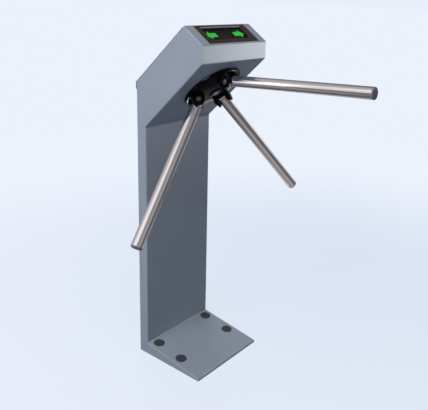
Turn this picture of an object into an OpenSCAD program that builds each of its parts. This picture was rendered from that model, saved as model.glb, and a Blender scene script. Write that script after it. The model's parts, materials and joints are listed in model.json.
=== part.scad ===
// Compact tripod turnstile: a bent-sheet column on a wedge foot carries a slanted head, and a
// three-armed hub turns under the head on a tilted shaft.
// Millimetres. +Z is up, -Y points to the nose and the barrier arm, X is the walking direction.
// The origin is the centre of the four floor anchors, on the floor.

/* [Housing] */
// Width of the housing
body_w = 280; // [250:1:310]
// Height of the top edge above the floor
body_h = 1050; // [1000:1:1120]
// Depth of the column, front to back
column_d = 36; // [34:1:44]
// Thickness of the housing sheet
skin = 2.5; // [2:0.1:3]
// Outer radius of the bends along both sides
bend_r = 4; // [1:0.5:6]

/* [Head] */
// How far the nose reaches forward of the column
head_reach = 218; // [212:1:226]
// Height of the upright face of the nose
nose_h = 51; // [46:1:56]
// Drop from the top edge to the upper edge of the nose
nose_drop = 45.5; // [43:0.5:48]
// How far the top edge lies forward of the column
crown_reach = 151; // [147:1:155]
// Drop from the top edge to the corner between underside and column
under_drop = 299; // [292:1:306]
// Drop from the top edge to the back corner of the slope
back_drop = 168; // [164:1:172]
// Radius of the opening for the bearing sleeve in the underside
hub_hole_r = 37; // [36:0.5:42]

/* [Foot] */
// How far the foot reaches forward of the column
foot_reach = 222; // [200:1:250]
// Height of the foot at the column
foot_back_h = 37; // [32:1:44]
// Height of the foot at its tip
foot_tip_h = 7; // [6:0.5:9]
// Thickness of the base plate
base_t = 5; // [4:0.5:6]
// Distance from the tip to the front edge of the base plate
base_set = 9; // [8:0.5:14]
// Gap between the base plate and the sheet welded round it
weld_gap = 0.2; // [0.1:0.05:0.4]
// Spacing of the floor anchors across the width
anchor_gap_x = 222; // [200:1:226]
// Spacing of the floor anchors front to back
anchor_gap_y = 98; // [80:1:110]
// Distance from the rear anchors to the column
anchor_to_column = 23.5; // [20:0.5:30]
// Radius of a floor anchor hole
anchor_r = 7; // [5:0.5:8]
// Radius of the spanner holes in the top of the foot
access_r = 15.5; // [12:0.5:16]
// Radius of a plug's flange
plug_r = 17.5; // [17:0.5:19]
// Thickness of a plug's flange
plug_t = 1.8; // [1:0.1:3]
// Thickness of the ribs inside the foot
rib_t = 4; // [3:0.5:6]
// Distance of the outer ribs from the middle
rib_x = 62; // [50:1:75]
// Radius of the cable hole in the base plate
cable_hole_r = 16; // [12:0.5:18]
// Radius of the bore through the cable bush
cable_bore_r = 12; // [8:0.5:13]
// Height of the cable bush above the base plate
bush_h = 3; // [2:0.5:6]
// Width of the bush's collar
bush_collar = 3.5; // [2:0.5:5]

/* [Lid] */
// Thickness of the lid sheet
lid_t = 2; // [1.5:0.1:2.5]
// Gap under the lid and between the lid and its surroundings
lid_gap = 0.4; // [0.3:0.05:0.8]
// Depth of the lip that hangs behind the column
lip_h = 21; // [15:1:30]
// Depth of the stiffening flanges along both sides of the lid
flange_h = 11; // [6:1:14]
// Width of the land left along the top edge of the head
crest_land = 3; // [2.5:0.1:4]
// Depth of the hinge pins under the lid's outer face
pin_depth = 3.2; // [3:0.05:3.6]
// Radius of the hinge pins
hinge_pin_r = 1.5; // [1.2:0.1:1.8]
// Radius of the hinge knuckles
knuckle_r = 2.9; // [2.6:0.1:3]
// Width of one hinge knuckle
knuckle_w = 9; // [7:0.5:9.5]
// Distance of the hinges from the side faces
hinge_inset = 21; // [19:0.5:24]
// Length of a hinge leaf
leaf_l = 18; // [12:1:24]
// Thickness of a hinge leaf
leaf_t = 1.4; // [1:0.1:1.6]
// Radius of the lock barrel
lock_r = 8; // [7:0.5:9]
// Radius of the lock's face
lock_face_r = 10; // [9:0.5:12]
// Height of the lock's face above the lid
lock_face_t = 2; // [1:0.5:3]
// Radius of the turning plug in the lock
plug_key_r = 5; // [4:0.5:6]
// Length of the lock barrel under the lid
lock_l = 15; // [13:0.5:16]
// Thickness of the cam and of its catch
cam_t = 2.5; // [2:0.5:3]
// Length of the cam from the lock's axis
cam_l = 28; // [26:1:30]
// Width of the cam
cam_w = 12; // [10:1:14]
// How far the catch reaches in from the back wall
catch_reach = 26; // [22:1:28]
// Width of the catch
catch_w = 34; // [24:1:50]

/* [Display] */
// Width of the deck beside the bezel
deck_margin = 34; // [30:1:40]
// Length of the bezel along the deck
bezel_l = 74; // [70:1:75]
// Height of the bezel's rim above the deck
bezel_rim = 1.2; // [0.8:0.1:2]
// Depth of the bezel below the face of the deck
bezel_depth = 10; // [8.5:0.5:12]
// Width of the rim that laps over the deck
bezel_lap = 4; // [3.5:0.5:6]
// Width of the bezel beside the window
bezel_side = 22; // [20:1:30]
// Length of the window opening
window_l = 50; // [40:1:50]
// Offset of the window toward the top edge
window_shift = 4; // [0:0.5:4]
// Depth of the window pane below the face of the deck
pane_depth = 4.5; // [3:0.5:5]
// Thickness of the window pane
pane_t = 2.5; // [2:0.5:3]
// Width of the seat round the window pane
pane_seat = 2; // [1.5:0.5:2]
// Slope width of the opening's bevelled edge
bezel_bevel = 2.5; // [1:0.5:4]
// Length of an arrow light, tip to tail
arrow_l = 44; // [24:1:46]
// Width of an arrow light across its head
arrow_w = 32; // [20:1:34]
// Distance of an arrow light's middle from the window's side
arrow_inset = 25; // [24:1:38]
// Depth of the indicator board below the face of the deck
board_depth = 14; // [13:0.5:16]
// Thickness of the circuit boards
board_t = 1.6; // [1.2:0.1:2]

/* [Hub] */
// Distance from the underside's corner to the hub's axis, along the underside
hub_run = 180; // [174:1:184]
// Gap between the hub and the underside
hub_gap = 1; // [0.6:0.1:2]
// Radius of the hub disc
hub_r = 91; // [91:0.5:96]
// Thickness of the disc at its rim
rim_t = 6; // [5:0.5:8]
// Width of the chamfer on the rim
rim_chamfer = 2.5; // [1:0.5:3]
// Height of the domed front above the underside
dome_h = 22; // [20:0.5:24]
// Radius of the flat in the middle of the dome
dome_flat_r = 26; // [24:0.5:30]
// Distance from the hub's axis to an arm's pivot
pivot_r = 65; // [64:0.5:67]
// Distance from the underside to an arm's pivot
pivot_drop = 28; // [27:0.5:30]
// Radius of the rounded end of a fork cheek
cheek_r = 19; // [18:0.5:24]
// Thickness of a fork cheek
cheek_t = 7.5; // [6:0.5:9]
// Gap between the two cheeks of a fork
fork_gap = 33; // [33:0.5:35]
// Radius of the pivot bolts
bolt_r = 5; // [4:0.5:6]
// Radius of the bolt heads
bolt_head_r = 8.5; // [7.5:0.5:10]
// Height of the bolt heads
bolt_head_t = 3.5; // [3:0.5:7]
// Height of the bolt nuts
nut_t = 5; // [4:0.5:8]
// Radius of the cap in the middle of the hub
cap_r = 22; // [21:0.5:23]
// Height of the cap above the dome
cap_h = 4.5; // [3:0.5:6]
// Radius of the counterbore for the hub nut
counterbore_r = 19.5; // [19:0.5:20]
// Depth of the counterbore
counterbore_d = 10; // [9:0.5:11]

/* [Arms] */
// Angle between an arm and the hub's axis
arm_angle = 50; // [47:0.5:53]
// Outer radius of an arm tube
arm_r = 16; // [15:0.5:16]
// Wall thickness of an arm tube
arm_wall = 1.5; // [1:0.1:2.5]
// Length of an arm from its pivot to the face of its cap
arm_l = 450; // [380:1:500]
// Length of the arm's root ahead of the tube
root_l = 22; // [20:1:30]
// Length of the root and cap plugs inside the tube
spigot_l = 30; // [20:1:40]
// Thickness of the arm's end cap
arm_cap_t = 3.5; // [2:0.5:6]

/* [Drive] */
// Radius of the main shaft
shaft_r = 12.5; // [11.5:0.5:13]
// Radius of the shaft's threaded front end
thread_r = 10; // [9:0.5:11]
// Outer radius of the shaft bearings
bearing_r = 26; // [25:0.5:27]
// Width of the shaft bearings
bearing_w = 15; // [12:0.5:16]
// Outer radius of the bearing sleeve
sleeve_r = 33; // [32:0.5:34]
// Length of the bearing sleeve
sleeve_l = 58; // [52:1:60]
// Radius of the sleeve's flange
flange_r = 50; // [47:0.5:53]
// Thickness of the sleeve's flange
flange_t = 8; // [6:0.5:10]
// Radius of the flange's bolt circle
flange_bolt_r = 42; // [41:0.5:43]
// Radius of the small machine bolts
small_bolt_r = 3; // [2.5:0.5:4]
// Height of the mechanism plate above the underside sheet
plate_lift = 12; // [10:0.5:14]
// Thickness of the mechanism plate
plate_t = 6; // [5:0.5:8]
// Width of the mechanism plate
plate_w = 240; // [230:1:250]
// Reach of the mechanism plate toward the nose
plate_front = 92; // [90:1:95]
// Reach of the mechanism plate toward the column
plate_rear = 114; // [112:1:118]
// Distance of the plate's spacers from the middle
spacer_x = 106; // [102:1:110]
// Radius of the index disc
index_r = 50; // [48:0.5:51]
// Thickness of the index disc
index_t = 8; // [7:0.5:9]
// Width of the notches in the index disc
notch_w = 10; // [9.5:0.5:12]
// Depth of the notches in the index disc
notch_d = 8; // [7:0.5:9]
// Number of notches in the index disc
notches = 6; // [6]
// Tooth size of the gears, pitch diameter over teeth
gear_module = 2.5; // [2.5]
// Teeth on the main gear
gear_teeth = 48; // [48]
// Teeth on the drive pinion
pinion_teeth = 16; // [16]
// Thickness of the gears
gear_t = 10; // [8:0.5:10]
// Play between meshing teeth, on each flank
tooth_play = 0.15; // [0.1:0.05:0.25]
// Radius of the motor shaft
motor_shaft_r = 5; // [4:0.5:6]
// Radius of the gearmotor's body
motor_r = 22; // [20:0.5:24]
// Radius of the encoder disc
encoder_r = 42; // [38:1:46]
// Thickness of the encoder disc
encoder_t = 1.5; // [1:0.5:2]

/* [Locks] */
// Swing of a locking pawl between free and engaged
pawl_swing = 11; // [10.5:0.5:12]
// Thickness of a locking pawl
pawl_t = 7; // [5:0.5:7]
// Pivot of a pawl, sideways from the hub's axis
pawl_x = 46; // [45:0.5:48]
// Pivot of a pawl, forward of the hub's axis
pawl_y = 42; // [41:0.5:44]
// Length of a pawl's tail from its pivot
pawl_tail = 24; // [22:0.5:26]
// Radius of the pawl pivots
pawl_pin_r = 5; // [4:0.5:5]
// Radius of the eye round a pawl's pivot
pawl_eye_r = 9; // [8:0.5:9]
// Half the width of a pawl's nose
nose_half = 3.5; // [3:0.5:4]
// Depth of an engaged pawl in its notch
bite = 5.5; // [4.5:0.5:6]
// Side length of a solenoid's square frame
coil_box = 28; // [26:1:30]
// Length of a solenoid
coil_l = 38; // [34:1:40]
// Distance from the middle to a solenoid's front
coil_x = 84; // [82:1:86]
// Radius of a plunger
plunger_r = 4.5; // [4:0.5:5]
// Radius of the cross pin in a plunger's fork
link_pin_r = 3; // [2.5:0.5:3.5]
// Thickness of the bent brackets
bracket_t = 3; // [2:0.5:4]

/* [Electronics] */
// Width of the control board
control_w = 160; // [120:1:200]
// Height of the control board
control_h = 110; // [80:1:140]
// Height of the control board's middle below the underside's corner
control_drop = 90; // [75:1:120]
// Width of the power supply
supply_w = 110; // [90:1:140]
// Height of the power supply
supply_h = 150; // [100:1:180]
// Depth of the power supply
supply_d = 22; // [16:1:24]
// Drop from the underside's corner to the top of the power supply
supply_drop = 200; // [170:1:260]
// Length of the board standoffs
standoff_l = 6; // [4:0.5:8]
// Radius of the board standoffs
standoff_r = 3.5; // [3:0.5:4.5]

/* [Hidden] */

$fn = 64;
// Overrun of every cut past the surface that it opens
cut = 1;
// Clearance of a shaft in its bearing or hole
run_fit = 0.05;
// Clearance of a pressed or screwed piece in its seat
seat_fit = 0.02;
// Gap between loose faces of neighbouring pieces
face_gap = 0.3;
// Number of arms, forks and pivot bolts
arms = 3;
// Steps of the rounding along the bends
bend_steps = 4;
// Points along one flank of a gear tooth
flank_steps = 4;
// Pressure angle of the gears
pressure_angle = 20;

body_grey = "slategray";
dark_grey = "dimgray";
steel = "silver";
zinc = "lightsteelblue";
hub_black = "black";

// Main lines of the housing, in the plane of front-to-back and height
column_y = anchor_gap_y / 2 + anchor_to_column;
back_y = column_y + column_d;
tip_y = column_y - foot_reach;
nose_y = column_y - head_reach;
nose_top_z = body_h - nose_drop;
nose_low_z = nose_top_z - nose_h;
under_z = body_h - under_drop;
back_z = body_h - back_drop;
crown = [column_y - crown_reach, body_h];
slope_tilt = atan2(back_drop, crown_reach + column_d);
slope_dir = [cos(slope_tilt), -sin(slope_tilt)];
slope_out = [sin(slope_tilt), cos(slope_tilt)];
deck_slope = atan2(nose_drop, head_reach - crown_reach);
deck_l = norm([head_reach - crown_reach, nose_drop]);
foot_tilt = atan2(foot_back_h - foot_tip_h, foot_reach);
inner_w = body_w - 2 * skin;

head_outline = [
    [column_y, under_z], [nose_y, nose_low_z], [nose_y, nose_top_z],
    crown, [back_y, back_z], [back_y, under_z]
];
column_outline = [
    [column_y, -bend_r], [column_y, under_z + column_d],
    [back_y, under_z + column_d], [back_y, -bend_r]
];
foot_outline = [
    [tip_y, -bend_r], [tip_y, foot_tip_h], [column_y, foot_back_h],
    [back_y, foot_back_h], [back_y, -bend_r]
];
column_void = [
    [column_y + skin, -cut], [column_y + skin, under_z + column_d / 2],
    [back_y - skin, under_z + column_d / 2], [back_y - skin, -cut]
];

// The hub's axis stands square on the underside
tilt = atan2(nose_low_z - under_z, head_reach);
hub_y = column_y - hub_run * cos(tilt);
hub_z = under_z + hub_run * sin(tilt);

// Heights in the mechanism, measured from the underside into the head
plate_z = skin + plate_lift;
plate_top = plate_z + plate_t;
sleeve_z = 4 * hub_gap;
sleeve_top = sleeve_z + sleeve_l;
ring_t = 4;
index_z = sleeve_top + ring_t;
gear_boss_t = 4;
gear_z = index_z + index_t + gear_boss_t;
gear_top = gear_z + gear_t;
encoder_lift = 6;
encoder_z = gear_top + encoder_lift;
encoder_top = encoder_z + encoder_t;
top_nut_t = 5;
shaft_top = encoder_top + top_nut_t + hub_gap;
pawl_z = index_z + (index_t - pawl_t) / 2;
pawl_mid = index_z + index_t / 2;
gear_pitch_r = gear_module * gear_teeth / 2;
pinion_pitch_r = gear_module * pinion_teeth / 2;
motor_y = gear_pitch_r + pinion_pitch_r;

// Hinge and lock of the lid, as distances along the slope from the top edge
hinge_s = crest_land + lid_gap + pin_depth;
hinge_x = body_w / 2 - hinge_inset;
lip_in_y = back_y + lid_gap;
lip_out_y = lip_in_y + lid_t;
lip_low_z = slope_at(lip_out_y, 0)[1] - lip_h;
catch_d = lock_l - cam_t / 2;
catch_s = slope_s(back_y - skin, catch_d) - catch_reach;
lock_s = catch_s - lock_r - 2 * cam_t - cut;
cam_d = catch_d + cam_t + cut;

function unit(v) = v / norm(v);
function right_of(v) = [v[1], -v[0]];
function lerp(a, b, share) = a + (b - a) * share;

// A clockwise outline with every side moved inward by d
function inset_outline(pts, d) = [
    for (i = [0 : len(pts) - 1])
        let (
            before = pts[(i + len(pts) - 1) % len(pts)],
            after = pts[(i + 1) % len(pts)],
            a = unit(right_of(pts[i] - before)),
            b = unit(right_of(after - pts[i]))
        )
        pts[i] + d * (a + b) / (1 + a * b)
];

// A point s along the slope from the top edge and d below the slope's face
function slope_pt(s, d) = crown + s * slope_dir - d * slope_out;
// How far along the slope the upright plane at y lies, at the depth d
function slope_s(y, d) = (y - crown[0] + d * slope_out[0]) / slope_dir[0];
function slope_at(y, d) = slope_pt(slope_s(y, d), d);
function foot_top(y) = foot_tip_h + (y - tip_y) * tan(foot_tilt);

// Extrudes an outline drawn in front-to-back and height across the width
module across(w) {
    rotate([90, 0, 90]) linear_extrude(w, center = true) children();
}

// A convex bar across the width whose two side faces meet the rest in round bends
module bent_bar(outline, w, r) {
    hull()
        for (k = [0 : bend_steps])
            across(w - 2 * r * (1 - sin(90 * k / bend_steps)))
                polygon(inset_outline(outline, r * (1 - cos(90 * k / bend_steps))));
}

// Origin on the hub's axis at the underside: z into the head, y down toward the column
module at_hub() {
    translate([0, hub_y, hub_z]) rotate([-tilt, 0, 0]) children();
}

// Origin on the top edge: y along the slope, z out of the lid
module at_slope() {
    translate([0, crown[0], crown[1]]) rotate([-slope_tilt, 0, 0]) children();
}

// Origin on the top edge: y along the deck toward the nose, z into the head
module at_deck() {
    translate([0, crown[0], crown[1]]) rotate([180 + deck_slope, 0, 0]) children();
}

// Square on the top face of the foot above each floor anchor
module at_anchors() {
    for (x = [-anchor_gap_x / 2, anchor_gap_x / 2])
        for (y = [-anchor_gap_y / 2, anchor_gap_y / 2])
            translate([x, y, foot_top(y)]) rotate([foot_tilt, 0, 0]) children();
}

// Origin at the pivot of arm number k: x along the bolt, -y away from the hub's axis
module at_fork(k) {
    rotate([0, 0, k * 360 / arms]) translate([0, -pivot_r, -pivot_drop]) children();
}

// Origin at the pivot of arm number k in the whole machine, z along the arm
module at_arm(k) {
    at_hub() at_fork(k) rotate([180 - arm_angle, 0, 0]) children();
}

module ring(r_out, r_in, h) {
    difference() {
        cylinder(r = r_out, h = h);
        translate([0, 0, -cut]) cylinder(r = r_in, h = h + 2 * cut);
    }
}

// A cylinder along x, centred
module x_rod(r, l) {
    rotate([0, 90, 0]) cylinder(r = r, h = l, center = true);
}

// Housing: column, foot skirt and head are one welded shell, open below and under the lid
module housing() {
    color(body_grey)
    difference() {
        union() {
            bent_bar(head_outline, body_w, bend_r);
            bent_bar(column_outline, body_w, bend_r);
            bent_bar(foot_outline, body_w, bend_r);
        }
        translate([-body_w / 2 - cut, tip_y - cut, -bend_r - cut])
            cube([body_w + 2 * cut, foot_reach + column_d + 2 * cut, bend_r + cut]);
        across(inner_w) polygon(inset_outline(head_outline, skin));
        across(inner_w) polygon(column_void);
        across(inner_w) polygon(inset_outline(foot_outline, skin));
        lid_mouth();
        lid_seat();
        at_hub() translate([0, 0, -cut]) cylinder(r = hub_hole_r, h = skin + 2 * cut);
        at_deck() translate([-deck_cut_w / 2, deck_cut_y, -cut])
            cube([deck_cut_w, deck_cut_l, skin + 2 * cut]);
        at_anchors() translate([0, 0, -skin - cut]) cylinder(r = access_r, h = skin + 2 * cut);
    }
}

bezel_w = body_w - 2 * deck_margin;
window_w = bezel_w - 2 * bezel_side;
arrow_x = window_w / 2 - arrow_inset;
deck_cut_w = bezel_w - 2 * bezel_lap;
deck_cut_l = bezel_l - 2 * bezel_lap;
deck_cut_y = (deck_l - deck_cut_l) / 2;

// The opening between the side walls that the lid closes
module lid_mouth() {
    across(inner_w)
        polygon([
            slope_pt(crest_land, -cut), slope_at(back_y - skin, -cut),
            slope_at(back_y - skin, skin + cut), slope_pt(crest_land, skin + cut)
        ]);
}

// The side and back walls end below the lid, and dip under its front edge where it swings
module lid_seat() {
    across(body_w + 2 * cut)
        polygon([
            slope_pt(crest_land, -cut), slope_at(back_y + cut, -cut),
            slope_at(back_y + cut, lid_t + lid_gap), slope_pt(hinge_s + cut, lid_t + lid_gap),
            slope_pt(hinge_s + cut, pin_depth + lid_gap), slope_pt(crest_land, pin_depth + lid_gap)
        ]);
}

base_w = inner_w - 2 * weld_gap;
base_front_y = tip_y + base_set;
base_back_y = back_y - skin - weld_gap;
cable_y = column_y + column_d / 2;

module base_plate() {
    color(zinc)
    difference() {
        translate([-base_w / 2, base_front_y, 0])
            cube([base_w, base_back_y - base_front_y, base_t]);
        for (x = [-anchor_gap_x / 2, anchor_gap_x / 2])
            for (y = [-anchor_gap_y / 2, anchor_gap_y / 2])
                translate([x, y, -cut]) cylinder(r = anchor_r, h = base_t + 2 * cut);
        translate([0, cable_y - skin, -cut]) cylinder(r = bush_seat_r, h = base_t + 2 * cut);
    }
}

// The cable hole must stay inside the column, whatever the column's depth
bush_seat_r = min(cable_hole_r, column_d / 2 - skin - weld_gap - bush_collar / 2);
bush_bore_r = min(cable_bore_r, bush_seat_r - bush_collar);

// Wedge ribs between the base plate and the sloping top of the foot
module foot_ribs() {
    color(zinc)
    for (x = [-rib_x, 0, rib_x])
        translate([x, 0, 0])
            intersection() {
                across(rib_t) polygon(inset_outline(foot_outline, skin + weld_gap));
                translate([-rib_t, base_front_y + 4 * base_set, base_t])
                    cube([2 * rib_t, column_y - base_front_y - 4 * base_set, foot_back_h]);
            }
}

// Press-in plugs that close the spanner holes
module foot_plugs() {
    stem_r = access_r - face_gap;
    color(dark_grey)
    at_anchors()
        rotate_extrude()
            polygon([
                [0, plug_t], [plug_r - 2 * plug_t, plug_t], [plug_r - plug_t / 2, plug_t / 2],
                [plug_r, 0], [stem_r, 0], [stem_r, -skin - face_gap],
                [stem_r + plug_t / 2, -skin - plug_t / 2 - face_gap],
                [stem_r - plug_t, -skin - 2 * plug_t], [stem_r - plug_t, -plug_t / 2],
                [0, -plug_t / 2]
            ]);
}

module cable_bush() {
    color(dark_grey)
    translate([0, cable_y - skin, 0])
        rotate_extrude()
            polygon([
                [bush_bore_r, face_gap], [bush_seat_r - seat_fit, face_gap],
                [bush_seat_r - seat_fit, base_t], [bush_seat_r + bush_collar / 2 - weld_gap, base_t],
                [bush_seat_r + bush_collar / 2 - weld_gap, base_t + bush_h - cut],
                [bush_seat_r, base_t + bush_h], [bush_bore_r + cut, base_t + bush_h],
                [bush_bore_r, base_t + bush_h - cut]
            ]);
}

// A block centred across the deck, from depth z0 to depth z1
module deck_block(w, l, z0, z1) {
    translate([-w / 2, (deck_l - l) / 2, z0]) cube([w, l, z1 - z0]);
}

module at_window() {
    translate([0, -window_shift, 0]) children();
}

// Frame of the display: a rim on the deck and a bevelled opening down to the pane
module display_bezel() {
    color("saddlebrown")
    at_deck()
        difference() {
            union() {
                deck_block(bezel_w, bezel_l, -bezel_rim, 0);
                deck_block(deck_cut_w - 2 * face_gap, deck_cut_l - 2 * face_gap, 0, bezel_depth);
            }
            at_window() {
                deck_block(window_w, window_l, -bezel_rim - cut, bezel_depth + cut);
                deck_block(window_w + 2 * pane_seat, window_l + 2 * pane_seat,
                    pane_depth, bezel_depth + cut);
                for (end = [0, 1])
                    bevel_cut(window_w + 2 * bezel_bevel, end);
            }
        }
}

// Slanting cut along the upper or lower edge of the opening
module bevel_cut(w, end) {
    edge_y = deck_l / 2 + (end == 0 ? -window_l / 2 : window_l / 2);
    run = end == 0 ? -bezel_bevel : bezel_bevel;
    across(w)
        polygon([
            [edge_y, bezel_bevel - bezel_rim], [edge_y + run, -bezel_rim],
            [edge_y + run, -bezel_rim - cut], [edge_y - run, -bezel_rim - cut],
            [edge_y - run, bezel_bevel - bezel_rim]
        ]);
}

module display_pane() {
    color("darkslategray", 0.5)
    at_deck() at_window()
        deck_block(window_w + 2 * pane_seat - 2 * face_gap, window_l + 2 * pane_seat - 2 * face_gap,
            pane_depth + seat_fit, pane_depth + pane_t);
}

// Circuit board behind the pane, on four posts that reach up to the bezel
module indicator_board() {
    post_x = window_w / 2 + pane_seat + standoff_r;
    post_y = window_l / 2 - standoff_r;
    color("darkgreen")
    at_deck() at_window() {
        deck_block(window_w + 2 * pane_seat + 4 * standoff_r, window_l, board_depth,
            board_depth + board_t);
        for (x = [-post_x, post_x])
            for (y = [-post_y, post_y])
                translate([x, deck_l / 2 + y, bezel_depth])
                    cylinder(r = standoff_r - cut, h = board_depth - bezel_depth + board_t / 2);
    }
}

// Outline of an arrow that points to +x
module arrow_shape() {
    head_share = 0.45;
    stem_share = 0.5;
    polygon([
        [arrow_l / 2, 0], [arrow_l / 2 - arrow_l * head_share, arrow_w / 2],
        [arrow_l / 2 - arrow_l * head_share, arrow_w * stem_share / 2],
        [-arrow_l / 2, arrow_w * stem_share / 2], [-arrow_l / 2, -arrow_w * stem_share / 2],
        [arrow_l / 2 - arrow_l * head_share, -arrow_w * stem_share / 2],
        [arrow_l / 2 - arrow_l * head_share, -arrow_w / 2]
    ]);
}

module arrow_light(side) {
    color("limegreen")
    at_deck() at_window()
        translate([side * arrow_x, deck_l / 2, pane_depth + pane_t + face_gap])
            linear_extrude(board_depth - pane_depth - pane_t - face_gap)
                mirror([side < 0 ? 1 : 0, 0]) arrow_shape();
}

module left_arrow_light() { arrow_light(-1); }
module right_arrow_light() { arrow_light(1); }

// Places of the spacers between the underside and the mechanism plate
spacer_r = 8;
spacer_rear_y = plate_rear - 2 * spacer_r;
spacer_front_y = -pawl_y;

module at_spacers() {
    for (x = [-spacer_x, spacer_x])
        for (y = [spacer_front_y, spacer_rear_y])
            translate([x, y, 0]) children();
}

module mechanism_plate() {
    corner = 2 * spacer_r;
    color(zinc)
    at_hub()
        difference() {
            translate([-plate_w / 2, -plate_front, plate_z])
                cube([plate_w, plate_front + plate_rear, plate_t]);
            for (x = [-plate_w / 2, plate_w / 2])
                for (y = [-plate_front, plate_rear])
                    translate([x, y, plate_z - cut]) rotate([0, 0, 45])
                        translate([-corner / 2, -corner / 2, 0])
                            cube([corner, corner, plate_t + 2 * cut]);
            translate([0, 0, plate_z - cut]) cylinder(r = sleeve_r + face_gap, h = plate_t + 2 * cut);
            at_spacers() translate([0, 0, plate_z - cut])
                cylinder(r = small_bolt_r + run_fit, h = plate_t + 2 * cut);
            at_sleeve_bolts() translate([0, 0, plate_z - cut])
                cylinder(r = small_bolt_r + run_fit, h = plate_t + 2 * cut);
        }
}

module plate_spacers() {
    color(steel)
    at_hub() at_spacers() translate([0, 0, skin]) ring(spacer_r, small_bolt_r + run_fit, plate_lift);
}

// A hexagon-headed bolt whose head stands on z = 0 and whose shank goes down
module machine_bolt(r, l) {
    union() {
        cylinder(r = 2 * r, h = 4 / 3 * r, $fn = 6);
        translate([0, 0, -l]) cylinder(r = r, h = l + r / 2);
    }
}

module plate_bolts() {
    color(steel)
    at_hub() at_spacers() translate([0, 0, plate_top])
        machine_bolt(small_bolt_r, plate_t + plate_lift - face_gap);
}

module at_sleeve_bolts() {
    for (a = [45 : 90 : 315])
        rotate([0, 0, a]) translate([flange_bolt_r, 0, 0]) children();
}

// Flanged sleeve that holds both shaft bearings
module bearing_sleeve() {
    shoulder_r = bearing_r - bearing_w / 4;
    color("lightgray")
    at_hub()
        difference() {
            rotate_extrude()
                polygon([
                    [shoulder_r, sleeve_z + bearing_w], [bearing_r, sleeve_z + bearing_w],
                    [bearing_r, sleeve_z], [sleeve_r, sleeve_z], [sleeve_r, plate_top],
                    [flange_r, plate_top], [flange_r, plate_top + flange_t],
                    [sleeve_r + flange_t / 4, plate_top + flange_t],
                    [sleeve_r, plate_top + 3 / 2 * flange_t], [sleeve_r, sleeve_top],
                    [bearing_r, sleeve_top], [bearing_r, sleeve_top - bearing_w],
                    [shoulder_r, sleeve_top - bearing_w]
                ]);
            at_sleeve_bolts() translate([0, 0, plate_top - cut])
                cylinder(r = small_bolt_r + run_fit, h = flange_t + 2 * cut);
        }
}

module sleeve_bolts() {
    color(steel)
    at_hub() at_sleeve_bolts() translate([0, 0, plate_top + flange_t])
        machine_bolt(small_bolt_r, flange_t + plate_t);
}

// A shielded ball bearing as one ring with recessed shields
module shaft_bearing(z) {
    race = (bearing_r - shaft_r) / 4;
    recess = bearing_w / 12;
    inner = shaft_r + run_fit;
    outer = bearing_r - seat_fit;
    color(steel)
    at_hub()
        translate([0, 0, z])
            rotate_extrude()
                polygon([
                    [inner, 0], [inner + race, 0], [inner + race, recess], [outer - race, recess],
                    [outer - race, 0], [outer, 0], [outer, bearing_w], [outer - race, bearing_w],
                    [outer - race, bearing_w - recess], [inner + race, bearing_w - recess],
                    [inner + race, bearing_w], [inner, bearing_w]
                ]);
}

module lower_bearing() { shaft_bearing(sleeve_z); }
module upper_bearing() { shaft_bearing(sleeve_top - bearing_w); }

// Stepped shaft: thread and seat in the hub, collar, journals and keyed end
module main_shaft() {
    front = -dome_h + 2 * cut;
    color(steel)
    at_hub()
        difference() {
            rotate_extrude()
                polygon([
                    [0, front], [thread_r - cut, front], [thread_r, front + cut],
                    [thread_r, counterbore_d - dome_h], [shaft_r, counterbore_d - dome_h],
                    [shaft_r, -hub_gap], [shaft_r + sleeve_z, -hub_gap],
                    [shaft_r + sleeve_z, sleeve_z - face_gap], [shaft_r, sleeve_z - face_gap],
                    [shaft_r, shaft_top - cut], [shaft_r - cut, shaft_top], [0, shaft_top]
                ]);
            key_slot(key_w / 2);
        }
}

// The key joins the shaft to the index disc and the main gear
key_w = 8;
key_out = 3;
key_in = 4;

module key_slot(rise) {
    translate([-key_w / 2, shaft_r - key_in, index_z])
        cube([key_w, key_in + key_out + rise, gear_top - index_z]);
}

module drive_key() {
    color(dark_grey)
    at_hub()
        translate([-key_w / 2 + seat_fit, shaft_r - key_in + seat_fit, index_z + face_gap])
            cube([key_w - 2 * seat_fit, key_in + key_out - 2 * seat_fit,
                gear_top - index_z - 2 * face_gap]);
}

module keyway(z, h) {
    translate([-key_w / 2, 0, z - cut]) cube([key_w, shaft_r + key_out, h + 2 * cut]);
}

module spacer_ring() {
    color(steel)
    at_hub() translate([0, 0, sleeve_top + face_gap])
        ring(shaft_r + ring_t, shaft_r + seat_fit, ring_t - face_gap - seat_fit);
}

// Six notches: three home places and three between them that stop the hub from turning back
module index_disc() {
    hole_r = notch_d;
    hole_ring_r = (shaft_r + index_r - notch_d) / 2 + key_out;
    color(steel)
    at_hub()
        difference() {
            translate([0, 0, index_z]) cylinder(r = index_r, h = index_t);
            translate([0, 0, index_z - cut])
                cylinder(r = shaft_r + seat_fit, h = index_t + 2 * cut);
            keyway(index_z, index_t);
            for (i = [0 : notches - 1])
                rotate([0, 0, i * 360 / notches]) {
                    translate([index_r - notch_d, -notch_w / 2, index_z - cut])
                        cube([notch_d + cut, notch_w, index_t + 2 * cut]);
                    rotate([0, 0, 180 / notches])
                        translate([hole_ring_r, 0, index_z - cut])
                            cylinder(r = hole_r, h = index_t + 2 * cut);
                }
        }
}

function involute(a) = tan(a) * 180 / PI - a;

// Half the angle that a tooth fills at the radius r
function half_tooth(teeth, r) =
    let (
        pitch_r = gear_module * teeth / 2,
        base_r = pitch_r * cos(pressure_angle),
        thinning = tooth_play / pitch_r * 180 / PI
    )
    90 / teeth - thinning + involute(pressure_angle) - involute(acos(min(1, base_r / r)));

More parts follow.
